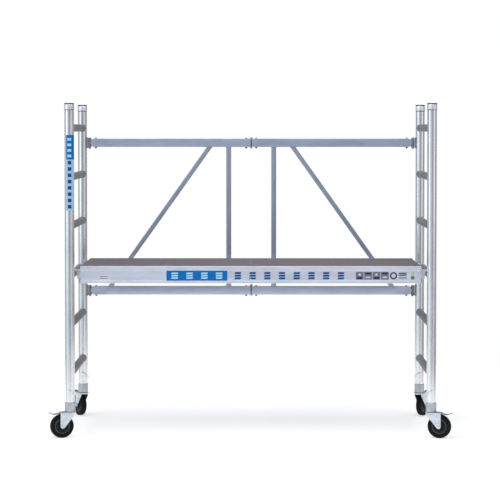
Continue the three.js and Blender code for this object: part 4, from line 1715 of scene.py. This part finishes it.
@dataclass
class Studio:
    """The pale floor, the soft lights, the plain surround and the camera."""

    eye: Point = (0.048, -9.78, 1.622)
    aim: Point = (-0.003, -0.377, 1.303)
    lens: float = 128.9
    sensor: float = 36.0
    shift_y: float = -0.1186
    glow: float = 0.48
    floor_colour: Colour = (0.82, 0.82, 0.82)
    floor_side: float = 2.6
    floor_rear: float = 2.4
    floor_sheet: float = 0.0005
    softboxes: tuple[Softbox, ...] = (
        Softbox("overhead_softbox", (0.0, -1.0, 4.8), (0, 0, 0.8), (5.0, 4.0), 100.0),
        Softbox("left_softbox", (-4.2, -2.6, 2.4), (0, 0, 0.9), (1.6, 3.4), 16.0),
        Softbox("right_softbox", (4.2, -2.2, 2.2), (0, 0, 0.9), (1.4, 3.2), 9.0))
    # Once round the object: from the left past the camera and the right side to the back.
    screens: tuple[tuple[float, Colour], ...] = (
        (0.00, (0.74, 0.84, 0.86)), (0.09, (0.86, 0.98, 1.00)), (0.17, (0.58, 0.64, 0.70)),
        (0.25, (0.50, 0.53, 0.61)), (0.285, (0.14, 0.19, 0.27)), (0.32, (0.52, 0.53, 0.61)),
        (0.39, (0.78, 0.74, 0.78)), (0.45, (0.30, 0.27, 0.28)), (0.52, (0.50, 0.46, 0.46)),
        (0.62, (0.40, 0.38, 0.38)), (0.75, (0.26, 0.26, 0.28)), (0.90, (0.48, 0.52, 0.55)))

    def floor(self) -> None:
        """A matt white floor sheet with a very slight unevenness in its tone."""
        shading = Shading("studio_floor")
        tone = shading.noise(1.5, 2.0)
        shade = shading.ramp(tone, [(0.3, tinted(self.floor_colour, 0.985)),
                                    (0.7, self.floor_colour)])
        shading.set(Base_Color=shade, Roughness=0.85, Specular_IOR_Level=0.1,
                    Emission_Color=(1.0, 1.0, 1.0, 1.0), Emission_Strength=self.glow)
        maker = MeshMaker()
        side, rear = self.floor_side, self.floor_rear
        maker.prism([(-side, -side), (side, -side), (side, rear), (-side, rear)],
                    -self.floor_sheet, 0.0)
        made = maker.object("studio_floor_sheet")
        made.data.materials.append(shading.material)

    def surround(self) -> None:
        """Grey and white screens round the object for its reflections, plain white behind it."""
        world = bpy.data.worlds.new("studio_surround")
        bpy.context.scene.world = world
        world.use_nodes = True
        tree = world.node_tree
        tree.nodes.clear()
        new, link = tree.nodes.new, tree.links.new
        where, turn = new("ShaderNodeTexCoord"), new("ShaderNodeTexGradient")
        ramp = new("ShaderNodeValToRGB")
        turn.gradient_type = "RADIAL"
        link(where.outputs["Generated"], turn.inputs["Vector"])
        link(turn.outputs["Fac"], ramp.inputs["Fac"])
        while len(ramp.color_ramp.elements) < len(self.screens):
            ramp.color_ramp.elements.new(0.5)
        for element, (position, tone) in zip(ramp.color_ramp.elements, self.screens):
            element.position, element.color = position, (*tone, 1.0)
        screens, backdrop = new("ShaderNodeBackground"), new("ShaderNodeBackground")
        link(ramp.outputs["Color"], screens.inputs["Color"])
        path, mix = new("ShaderNodeLightPath"), new("ShaderNodeMixShader")
        output = new("ShaderNodeOutputWorld")
        link(path.outputs["Is Camera Ray"], mix.inputs[0])
        link(screens.outputs[0], mix.inputs[1])
        link(backdrop.outputs[0], mix.inputs[2])
        backdrop.inputs["Color"].default_value = (1.0, 1.0, 1.0, 1.0)
        link(mix.outputs[0], output.inputs["Surface"])

    def camera(self) -> None:
        """A camera at standing height that faces the open front and looks slightly down."""
        data = bpy.data.cameras.new("front_view")
        data.lens, data.sensor_width, data.shift_y = self.lens, self.sensor, self.shift_y
        data.clip_end = 200.0
        made = bpy.data.objects.new("front_view", data)
        made.location = self.eye
        made.rotation_euler = looking(self.eye, self.aim)
        bpy.context.scene.collection.objects.link(made)
        bpy.context.scene.camera = made

    def build(self) -> None:
        """Builds the floor, the surround, the lights and the camera."""
        self.floor()
        self.surround()
        for softbox in self.softboxes:
            softbox.hang()
        self.camera()
        bpy.context.scene.view_settings.view_transform = "Standard"


# ---------------------------------------------------------------- the whole scaffold


def assemblies() -> list[object]:
    """Sets out the sub-assemblies.

    Returns:
        The sub-assemblies in the order in which they are built.
    """
    casters = [Caster(End.FRONT, Side.LEFT, 200), Caster(End.FRONT, Side.RIGHT, 340),
               Caster(End.REAR, Side.LEFT, 120), Caster(End.REAR, Side.RIGHT, 60)]
    halves = [BraceHalf(Side.LEFT, ((-0.024, -0.0082), (0.0082, 0.024))),
              BraceHalf(Side.RIGHT, ((-0.0075, 0.0075),))]
    frames = [LadderFrame(side) for side in Side]
    return [Studio(), *frames, *casters, *halves, CentrePins(), Platform(), UprightSticker()]


def main() -> None:
    """Builds every sub-assembly."""
    logging.basicConfig(level=logging.INFO, format="%(name)s: %(message)s")
    for assembly in assemblies():
        log.info("building %s", type(assembly).__name__)
        assembly.build()


if __name__ == "__main__":
    main()
